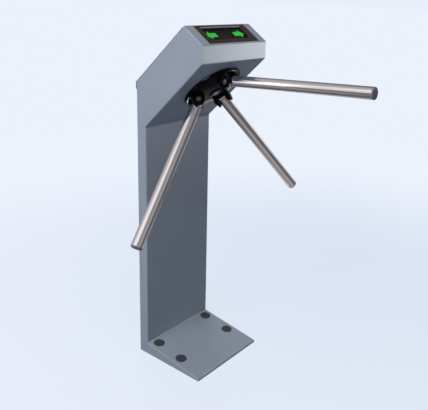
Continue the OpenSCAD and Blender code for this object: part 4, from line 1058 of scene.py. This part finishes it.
class HubTurret(Assembly):
    """The turning hub: cast disc with three forks, cap, pivot bolts and the drive on its shaft."""

    rim_r = 91.0
    gap = 1.0
    rim_t = 6.0
    rim_slope = 2.5
    dome_h = 22.0
    flat_r = 26.0
    pivot_r = 65.0
    pivot_drop = 28.0
    cheek_r = 19.0
    cheek_t = 7.5
    web = 14.0
    fork_gap = 33.0
    slot_play = -0.05
    bolt_r = 5.0
    head_r = 8.5
    head_t = 3.5
    nut_t = 5.0
    cap_r = 22.0
    cap_h = 4.5
    button_r = 11.5
    collar_r = 19.2
    bore_r = 12.6
    seat_r = 19.5
    seat_depth = 10.0
    root_room = 17.0
    socket_r = 3.2
    socket_depth = 2.2
    nut_r = 9.5
    nut_face_r = 7.9
    voxel = 0.9
    arms = 3

    @staticmethod
    def place() -> Matrix:
        """Returns the place on the hub's axis at the underside, z into the head."""
        return joint_place("hub_turn")

    def fork(self, number: int) -> Matrix:
        """Returns the place at the pivot of one arm, x along the bolt and -y away from the axis."""
        turn = Matrix.Rotation(math.tau * number / self.arms, 4, "Z")
        return self.place() @ turn @ moved(0.0, -self.pivot_r, -self.pivot_drop)

    def build(self) -> None:
        """Builds the casting, the cap and the bolts, and finishes the nodes on the shaft."""
        self.casting()
        self.cap()
        for number in range(self.arms):
            self.bolt(number)
        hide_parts("arm_bolts")
        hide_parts("arm_nuts")
        self.carry(Finishes.oxide, "shaft_nuts")
        self.carry(Finishes.steel, "main_shaft", "drive_key", "spacer_ring", "index_disc")
        self.carry(Finishes.brass, "main_gear")
        self.carry(Finishes.black, "encoder_disc")

    def dome(self) -> list[Pair]:
        """Returns the front of the disc from rim to middle, as radius and height."""
        steps = 10
        start = self.rim_r - self.rim_slope
        rim_h = self.gap + self.rim_t + self.rim_slope
        points = []
        for step in range(steps + 1):
            radius = start + (self.flat_r - start) * step / steps
            share = (radius - self.flat_r) / (start - self.flat_r)
            points.append((radius, -(self.dome_h - (self.dome_h - rim_h) * share * share)))
        return points

    def casting(self) -> None:
        """Builds the disc and its forks, melts them into one casting and rounds its corners."""
        seat = -self.dome_h + self.seat_depth
        rear = [(self.bore_r, seat), (self.bore_r, -self.gap), (self.rim_r, -self.gap)]
        rim = [(self.rim_r, -self.gap - self.rim_t)]
        well = [(self.seat_r, -self.dome_h), (self.seat_r, seat), (self.bore_r, seat)]
        disc = Form(self.place()).turned(rear + rim + self.dome() + well, 128).object("hub_casting")
        cheeks = []
        cutters = []
        for number in range(self.arms):
            for side in Side:
                cheeks.append(self.cheek(number, side))
            cutters.append(self.slot(number))
            bore = Form(self.fork(number) @ SIDEWAYS).rod(self.bolt_r + CUT, -40.0, 40.0, 32)
            cutters.append(bore.object("cut_bolt"))
        combine(disc, cheeks, "UNION")
        combine(disc, cutters)
        melt = disc.modifiers.new("melt", "REMESH")
        adjust(melt, mode="VOXEL", voxel_size=self.voxel * MM, use_smooth_shade=True)
        adjust(disc.modifiers.new("ease", "SMOOTH"), factor=0.5, iterations=5)
        settle(disc)
        self.dress(disc, Finishes.enamel, "hub", ["hub"], 80.0)

    def cheek(self, number: int, side: Side) -> bpy.types.Object:
        """Returns one cheek of a fork: a rounded lug that widens toward the disc."""
        foot = self.pivot_drop - self.gap - self.rim_t / 2
        place = self.fork(number) @ moved(side.value * (self.fork_gap + self.cheek_t) / 2) @ ACROSS
        points = arc(self.cheek_r, 180, 330, 10)
        points += [(self.cheek_r + self.web, foot), (-self.cheek_r, foot)]
        form = Form(place).prism(points, -self.cheek_t / 2, self.cheek_t / 2)
        form.bevel(1.4, 3, sharp(60.0))
        return form.object("cheek")

    def slot(self, number: int) -> bpy.types.Object:
        """Returns the room for an arm's root between the cheeks."""
        room, reach = self.root_room, self.rim_r
        points = arc(room, 0, 90, 10) + [(-reach, room), (-reach, -reach), (room, -reach)]
        half = self.fork_gap / 2 + self.slot_play
        return Form(self.fork(number) @ ACROSS).prism(points, -half, half).object("slot")

    def cap(self) -> None:
        """Builds the cap in the middle of the hub: a stepped ring round a plated button."""
        low = -self.dome_h
        face, back = low - self.cap_h, low + 1.5
        radius, inner, collar = self.cap_r, self.button_r + 0.1, self.collar_r
        ring = [
            (inner, back), (inner, face + 1.4), (radius - 5.2, face + 1.4), (radius - 4.6, face + 1.7),
            (radius - 2.2, face + 2.0), (radius - 0.7, low - 1.9), (radius, low - 0.9),
            (radius, low - TOUCH), (collar, low - TOUCH), (collar, back), (inner, back),
        ]
        piece = Form(self.place()).turned(ring, 96).object("hub_cap_ring")
        self.dress(piece, Finishes.enamel, "hub", ["hub_cap"], 40.0)
        radius = self.button_r
        button = [
            (0.0, face), (radius - 2.5, face + 0.15), (radius - 0.8, face + 0.7), (radius, face + 1.6),
            (radius, back), (0.0, back),
        ]
        piece = Form(self.place()).turned(button, 64).object("hub_button")
        self.dress(piece, Finishes.plated, "hub", (), 40.0)

    def bolt(self, number: int) -> None:
        """Builds one pivot bolt with a domed socket head, and its nut."""
        half = self.fork_gap / 2 + self.cheek_t
        along = self.fork(number) @ SIDEWAYS
        end, shank, top = half + self.nut_t, self.bolt_r, -half - self.head_t
        collar = 1.0
        rise = self.head_t - collar
        dome = [(x, -half - collar - rise * y / self.head_r) for x, y in arc(self.head_r, 0, 80, 10)]
        profile = [(0.0, end), (shank - 0.8, end), (shank, end - 0.8), (shank, -half), (self.head_r, -half)]
        bolt = Form(along).turned(profile + dome + [(0.0, top)], 64).object(f"pivot_bolt_{number + 1}")
        socket = Form(along).prism(arc(self.socket_r, 0, 300, 60), top - 1.0, top + self.socket_depth)
        combine(bolt, [socket.object("socket")])
        self.dress(bolt, Finishes.stud, "hub", (), 40.0)
        face, wide = end - 1.0, self.nut_r
        hexagon = Form(along).prism(arc(wide, 0, 300, 60), half + TOUCH, face)
        nut = hexagon.object(f"pivot_nut_{number + 1}")
        slope = [(0.0, half), (wide, half), (wide, end - 2.6), (self.nut_face_r, face), (0.0, face)]
        combine(nut, [Form(along).turned(slope, 64).object("cone")], "INTERSECT")
        combine(nut, [Form(along).rod(shank + TOUCH, 0.0, 60.0, 48).object("cut_thread")])
        self.dress(nut, Finishes.oxide, "hub", (), 30.0)


class Arm(Assembly):
    """One arm: a root block on the pivot bolt, a polished tube and an end cap."""

    radius = 16.0
    wall = 1.5
    root = 22.0
    cap = 3.5
    length = 450.0
    spigot = 30.0
    slip = 0.1
    bore_r = 5.05
    stem = 14.0
    stem_wall = 3.0

    def __init__(self, finishes: Finishes, body: str) -> None:
        """Works out the arm's place from its pivot and its packed tube."""
        super().__init__(finishes)
        self.body = body
        turn = joint(f"{body}_fold")
        pivot = Vector(turn["pos_m"])
        self.place = placed(pivot, middle(f"{body}_tube") - pivot, Vector(turn["axis"]))

    def build(self) -> None:
        """Builds the arm's three pieces."""
        self.tube()
        self.fitting()
        self.end_cap()

    def tube(self) -> None:
        """Builds the tube, with its cut ends slightly broken."""
        low, high = self.root + TOUCH, self.length - self.cap - TOUCH
        radius, inner, edge = self.radius, self.radius - self.wall, 0.35
        profile = [
            (inner, low), (radius - edge, low), (radius, low + edge), (radius, high - edge),
            (radius - edge, high), (inner, high), (inner, low),
        ]
        piece = Form(self.place).turned(profile, 96).object(f"{self.body}_polished_tube")
        wrap(piece, self.place)
        self.dress(piece, Finishes.tube, self.body, [f"{self.body}_tube"])

    def fitting(self) -> None:
        """Builds the root: a round bar whose end is rounded about the bolt."""
        radius, root, far = self.radius, self.root, self.root + self.spigot
        inner, edge = radius - self.wall - self.slip, 0.5
        profile = [
            (0.0, -radius), (radius, -radius), (radius, root - edge), (radius - edge, root), (inner, root),
            (inner, far), (0.0, far),
        ]
        piece = Form(self.place).turned(profile, 96).object(f"{self.body}_root_block")
        side_view = arc(radius, 180, 360, 6) + [(radius, far + 1.0), (-radius, far + 1.0)]
        end = Form(self.place @ ACROSS).prism(side_view, -radius - 1, radius + 1).object("end")
        combine(piece, [end], "INTERSECT")
        combine(piece, [Form(self.place @ SIDEWAYS).rod(self.bore_r, -20.0, 20.0, 48).object("cut_bolt")])
        wrap(piece, self.place)
        self.dress(piece, Finishes.tube, self.body, [f"{self.body}_root"], 40.0)

    def end_cap(self) -> None:
        """Builds the cap: a crowned button with a stem in the tube."""
        radius, far, seat = self.radius, self.length, self.length - self.cap
        outer, deep = radius - self.wall - self.slip, seat - self.stem
        inner = outer - self.stem_wall
        profile = [
            (0.0, far), (radius * 0.55, far - 0.15), (radius - 2.2, far - 0.45), (radius - 0.7, far - 1.2),
            (radius, far - 2.2), (radius, seat), (outer, seat), (outer, deep), (inner, deep),
            (inner, seat), (0.0, seat),
        ]
        piece = Form(self.place).turned(profile, 72).object(f"{self.body}_end_button")
        self.dress(piece, Finishes.end_cap, self.body, [f"{self.body}_cap"], 50.0)


class Lid(Assembly):
    """The sloping lid with its lip, side flanges, hinge leaves and cam lock."""

    lip_h = 21.0
    flange_h = 11.0
    flange_t = 2.0
    flange_inset = 2.0
    knuckle_r = 2.9
    knuckle_w = 9.0
    hinge_x = 119.0
    lock_face_r = 10.0
    lock_face_t = 2.0
    lock_hole_r = 8.1
    barrel_r = 8.0
    barrel_l = 15.0
    plug_r = 5.0
    plug_l = 20.7

    def __init__(self, finishes: Finishes, outline: Outline) -> None:
        """Keeps the housing's outline."""
        super().__init__(finishes)
        self.outline = outline

    def build(self) -> None:
        """Builds the panel and the lock, and finishes the hinge nodes."""
        self.panel()
        self.lock_face()
        self.carry(Finishes.zinc, "lid_hinge_leaves", "housing_hinge_leaves", "lid_catch", "lock_cam")
        self.carry(Finishes.steel, "hinge_pins")

    def panel(self) -> None:
        """Bends the panel and its lip, adds the flanges and cuts the hinge and lock seats."""
        sizes = self.outline
        hinge_s = sizes.crest_land + sizes.lid_gap + sizes.pin_depth
        half = sizes.width / 2 - sizes.lid_gap
        inner_y = sizes.back_y + sizes.lid_gap
        outer_y = inner_y + sizes.lid_t
        run = (sizes.back_corner - sizes.crown).normalized()
        out = Vector((-run.y, run.x))

        def at(s: float, depth: float) -> Vector:
            """Returns the point s along the slope and depth below it."""
            return sizes.crown + run * s - out * depth

        def upright(y: float, depth: float) -> Vector:
            """Returns the point of an upright plane at a depth below the slope."""
            start = at(0.0, depth)
            return start + run * ((y - start.x) / run.x)

        corner = upright(outer_y, 0.0)
        lip_z = corner.y - self.lip_h
        points = [
            tuple(at(hinge_s, 0.0)), tuple(corner), (outer_y, lip_z), (inner_y, lip_z),
            tuple(upright(inner_y, sizes.lid_t)), tuple(at(hinge_s, sizes.lid_t)),
        ]
        form = Form(ACROSS).prism(points, -half, half).tidy()

        def folded(edge: bmesh.types.BMEdge) -> bool:
            """Picks the outer line of the lip's fold."""
            return all((vertex.co.xy - corner).length < 0.1 for vertex in edge.verts)

        form.bevel(1.9, 4, folded)
        form.bevel(0.45, 2, sharp(50.0))
        panel = form.object("lid_panel")
        room = 3 * self.knuckle_w / 2 + CUT
        hinge = Matrix.Translation(Vector(joint("lid_open")["pos_m"]))
        tools = []
        for side in Side:
            seat = Form(hinge @ moved(side.value * self.hinge_x) @ SIDEWAYS)
            tools.append(seat.rod(self.knuckle_r + CUT, -room, room, 48).object("cut_knuckle"))
        lock = Form(joint_place("cover_lock_turn"))
        tools.append(lock.rod(self.lock_hole_r, -10.0, 10.0, 48).object("cut_lock"))
        combine(panel, tools)
        self.dress(panel, Finishes.coat, "lid")
        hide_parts("head_lid")
        start, rise = hinge_s + 4 * self.knuckle_r, self.flange_h
        root, deep = sizes.lid_t / 2, sizes.lid_t + rise
        end_y = sizes.back_y - sizes.skin - self.flange_inset
        corners = [at(start, root), upright(end_y, root), upright(end_y, deep), at(start + rise, deep)]
        self.flanges([tuple(corner) for corner in corners])

    def flanges(self, points: Sequence[Pair]) -> None:
        """Builds the two stiffening flanges that hang inside the side walls, from their side view."""
        middle_x = self.outline.width / 2 - self.outline.skin - self.flange_inset
        for side in Side:
            form = Form(moved(side.value * middle_x) @ ACROSS)
            form.prism(points, -self.flange_t / 2, self.flange_t / 2)
            form.bevel(0.4, 2, sharp(50.0))
            self.dress(form.object(f"lid_flange_{side.name.lower()}"), Finishes.coat, "lid")

    def lock_face(self) -> None:
        """Builds the lock's barrel with its rounded face and the turning plug with its key slot."""
        place = joint_place("cover_lock_turn")
        radius, top = self.lock_face_r, self.lock_face_t
        bore, stem = self.plug_r + 0.05, self.barrel_r
        deep, under = -self.barrel_l, -self.outline.lid_t - TOUCH
        barrel = [
            (bore, top - 0.3), (bore + 0.3, top), (radius - 1.6, top), (radius - 0.6, top - 0.4),
            (radius, top - 1.1), (radius, 0.01), (stem, 0.01), (stem, under), (radius, under),
            (radius, -4.0), (stem, -4.0), (stem, deep), (bore, deep), (bore, top - 0.3),
        ]
        collar = Form(place).turned(barrel, 64).object("lock_collar")
        self.dress(collar, Finishes.chrome, "lid", ["lock_barrel"], 40.0)
        radius, deep, face = self.plug_r, -self.plug_l, top - 0.1
        core = [(0.0, deep), (radius, deep), (radius, top - 0.5), (radius - 0.4, face), (0.0, face)]
        plug = Form(place).turned(core, 48).object("lock_core")
        combine(plug, [Form(place).block((-0.7, -3.0, 0.0), (0.7, 3.0, 5.0)).object("key_slot")])
        self.dress(plug, Finishes.chrome, "lock", ["lock_plug"], 40.0)


class Drive(Assembly):
    """The drive and the locks on the mechanism plate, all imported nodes."""

    def build(self) -> None:
        """Finishes every node of the drive."""
        self.carry(
            Finishes.steel, "plate_spacers", "lower_bearing", "upper_bearing", "pawl_posts", "drive_pinion",
            "motor_shaft", "left_pawl", "right_pawl", "left_plunger", "right_plunger",
        )
        self.carry(Finishes.zinc, "mechanism_plate", "solenoid_brackets", "solenoid_frames")
        self.carry(Finishes.oxide, "plate_bolts", "sleeve_bolts")
        self.carry(Finishes.cast, "bearing_sleeve")
        self.carry(Finishes.motor, "gearmotor")
        self.carry(Finishes.coil, "solenoid_coils")
        self.carry(Finishes.black, "sensor_fork")


class Electronics(Assembly):
    """Control board and power supply on the column's back wall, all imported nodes."""

    def build(self) -> None:
        """Finishes every node of the electronics."""
        self.carry(Finishes.board, "control_board")
        self.carry(Finishes.brass, "board_standoffs")
        self.carry(Finishes.cast, "power_supply")


@dataclass(frozen=True)
class Lamp:
    """A soft lamp: its place, its target, its size and its power.

    A lamp lights every surface but shows in no gloss. One that names a piece is a highlight: it
    shows in that piece's gloss alone, and nothing but that piece can stand in its way.
    """

    name: str
    where: Triple
    target: Triple
    size: Pair
    watts: float
    tint: Colour = (1.0, 1.0, 1.0)
    only: str = ""


@dataclass(frozen=True)
class Zone:
    """A brighter or darker zone of the studio, as the polished pieces mirror it.

    It starts at one cosine of the angle to its direction and is full at the other.
    """

    toward: Triple
    edge: float
    full: float
    change: float


@dataclass
class Studio:
    """Pale floor, soft lamps and the camera at the photograph's angle.

    The camera's sight is its heading, its pitch and its roll in degrees, and the frame is in the
    photograph's own pixels. Other places and sizes are in metres.
    """

    finishes: Finishes
    frame_width: float = 428.0
    frame_height: float = 410.0
    sight: Triple = (52.76, 15.09, 2.14)
    eye: Triple = (-1.27826, -1.18221, 1.14164)
    focal_px: float = 587.65
    centre_px: Pair = (251.04, 150.6)
    sensor_mm: float = 36.0
    clip_end: float = 200.0
    floor_reach: float = 60.0
    floor_drop_mm: float = 0.15
    world: Colour = (0.805, 0.865, 0.955)
    ambient: float = 0.20
    lamps: tuple[Lamp, ...] = (
        Lamp("main_lamp", (-2.7, -0.1, 2.3), (0.0, 0.0, 0.7), (1.8, 1.8), 86.0),
        Lamp("top_lamp", (-0.2, -0.9, 3.0), (0.0, -0.1, 0.9), (0.9, 0.9), 13.0),
        Lamp("back_lamp", (1.6, 2.2, 2.0), (0.0, 0.0, 0.8), (1.2, 1.2), 30.0),
        Lamp("nose_lamp", (0.80, -0.72, 0.90), (0.0, -0.145, 0.98), (0.5, 0.25), 26.0,
             (0.93, 0.92, 0.92), "housing_shell"),
        Lamp("edge_lamp", (-0.8, -2.0, 0.75), (0.0, 0.0, 0.7), (1.6, 1.2), 110.0,
             (0.93, 0.93, 0.97), "housing_shell"),
        Lamp("hub_rim_lamp", (-1.9, -0.15, 2.4), (0.0, -0.06, 0.87), (1.2, 0.7), 240.0,
             (0.68, 0.72, 1.0), "hub_casting"),
        Lamp("hub_right_glint", (0.78, -0.40, 0.38), (0.0, -0.13, 0.92), (0.35, 0.35), 17.0,
             (0.76, 0.82, 1.0), "hub_casting"),
        Lamp("hub_left_glint", (0.33, 0.22, 0.11), (-0.09, -0.10, 0.84), (0.4, 0.4), 12.0,
             (0.72, 0.78, 1.0), "hub_casting"),
        Lamp("hub_fork_glint", (-1.2, 0.1, 0.55), (-0.08, -0.12, 0.86), (0.5, 0.5), 14.0,
             (0.75, 0.8, 1.0), "hub_casting"),
        Lamp("tube_root_glint", (-0.39, 0.124, 0.98), (0.0, -0.186, 0.90), (0.35, 0.4), 0.55,
             (1.0, 0.955, 0.965), "barrier_arm_polished_tube"),
    )
    mirror_base: float = 0.40
    mirror_tint: Colour = (1.0, 0.955, 0.965)
    zones: tuple[Zone, ...] = (
        Zone((-0.66, 0.00, 0.75), 0.80, 0.985, 1.05),
        Zone((-0.85, 0.50, 0.15), 0.70, 0.95, 0.68),
        Zone((-0.15, 0.80, 0.58), 0.70, 0.95, 0.24),
        Zone((0.98, 0.05, 0.08), 0.90, 0.97, 0.62),
        Zone((0.60, 0.40, 0.69), 0.85, 0.97, -0.15),
        Zone((0.66, -0.74, -0.08), 0.84, 0.96, -0.22),
        Zone((0.22, -0.87, 0.43), 0.92, 0.98, 0.16),
    )

    def build(self) -> None:
        """Sets the floor, the world, the lamps, the camera and the plain view transform."""
        self.floor()
        self.sky()
        for lamp in self.lamps:
            self.hang(lamp)
        self.camera()
        bpy.context.scene.view_settings.view_transform = "Standard"

    def floor(self) -> None:
        """Lays the floor."""
        width = 2 * self.floor_reach / MM
        form = Form()
        form.outline(rectangle(width, width), -self.floor_drop_mm)
        thing = form.object("studio_floor")
        thing.data.materials.append(self.finishes.material(Finishes.floor))

    def sky(self) -> None:
        """Sets a pale backdrop for the camera, soft light, and bright and dark zones for mirrors."""
        world = bpy.data.worlds.new("studio_sky")
        bpy.context.scene.world = world
        world.use_nodes = True
        tree = Tree(world.node_tree)
        direction = tree.add("TexCoord").outputs["Generated"]
        bright = []
        for zone in self.zones:
            toward = Vector(zone.toward).normalized()
            dot = tree.add("VectorMath", direction, toward, operation="DOT_PRODUCT").outputs["Value"]
            bright.append(tree.ease(dot, zone.edge, zone.full, 0.0, zone.change))
        level = tree.total(self.mirror_base, bright)
        mirrored = tree.add("Background", (*self.mirror_tint, 1.0), level)
        soft, seen = (
            tree.add("Background", (*self.world, 1.0), strength) for strength in (self.ambient, 1.0)
        )
        path = tree.add("LightPath")
        glossy = tree.add("MixShader", path.outputs["Is Glossy Ray"], soft, mirrored)
        tree.add("OutputWorld", tree.add("MixShader", tree.seen(path), glossy, seen))

    def hang(self, lamp: Lamp) -> None:
        """Hangs one lamp, which faces its target and which the camera doesn't see.

        A highlight is linked to its one piece, for light and for shade. It works like a bright
        surface of the studio that only this piece mirrors.
        """
        data = bpy.data.lights.new(lamp.name, "AREA")
        wide, long = lamp.size
        adjust(data, shape="RECTANGLE", size=wide, size_y=long, energy=lamp.watts, color=lamp.tint)
        thing = bpy.data.objects.new(lamp.name, data)
        back = Vector(lamp.where) - Vector(lamp.target)
        thing.matrix_world = placed(Vector(lamp.where), back, Vector((0.0, 0.0, 1.0)).cross(back))
        adjust(
            thing, visible_camera=False, visible_diffuse=not lamp.only, visible_glossy=bool(lamp.only)
        )
        bpy.context.scene.collection.objects.link(thing)
        if lamp.only:
            lit = bpy.data.collections.new(f"{lamp.name}_receivers")
            lit.objects.link(bpy.data.objects[lamp.only])
            adjust(thing.light_linking, receiver_collection=lit, blocker_collection=lit)

    def camera(self) -> None:
        """Sets the camera at the photograph's place, angle and framing."""
        azimuth, pitch, roll = (math.radians(angle) for angle in self.sight)
        ahead = Vector((
            math.sin(azimuth) * math.cos(pitch), math.cos(azimuth) * math.cos(pitch), -math.sin(pitch)
        ))
        level = Vector((math.cos(azimuth), -math.sin(azimuth), 0.0))
        upward = level.cross(ahead)
        right = math.cos(roll) * level + math.sin(roll) * upward
        data = bpy.data.cameras.new("photo_camera")
        width, (centre_x, centre_y) = self.frame_width, self.centre_px
        adjust(
            data, sensor_width=self.sensor_mm, lens=self.focal_px * self.sensor_mm / width,
            shift_x=(width / 2 - centre_x) / width, shift_y=(centre_y - self.frame_height / 2) / width,
            clip_end=self.clip_end,
        )
        thing = bpy.data.objects.new("photo_camera", data)
        thing.matrix_world = placed(Vector(self.eye), -ahead, right)
        bpy.context.scene.collection.objects.link(thing)
        bpy.context.scene.camera = thing


def main() -> None:
    """Builds every sub-assembly in order."""
    logging.basicConfig(level=logging.INFO, format="%(name)s: %(message)s")
    finishes = Finishes()
    outline = Outline()
    for part in (
        Housing(finishes, outline), Display(finishes, outline), HubTurret(finishes),
        Arm(finishes, "barrier_arm"), Arm(finishes, "right_arm"), Arm(finishes, "left_arm"),
        Lid(finishes, outline), Drive(finishes), Electronics(finishes), Studio(finishes),
    ):
        part.build()
        LOG.info("built %s", type(part).__name__)


if __name__ == "__main__":
    main()
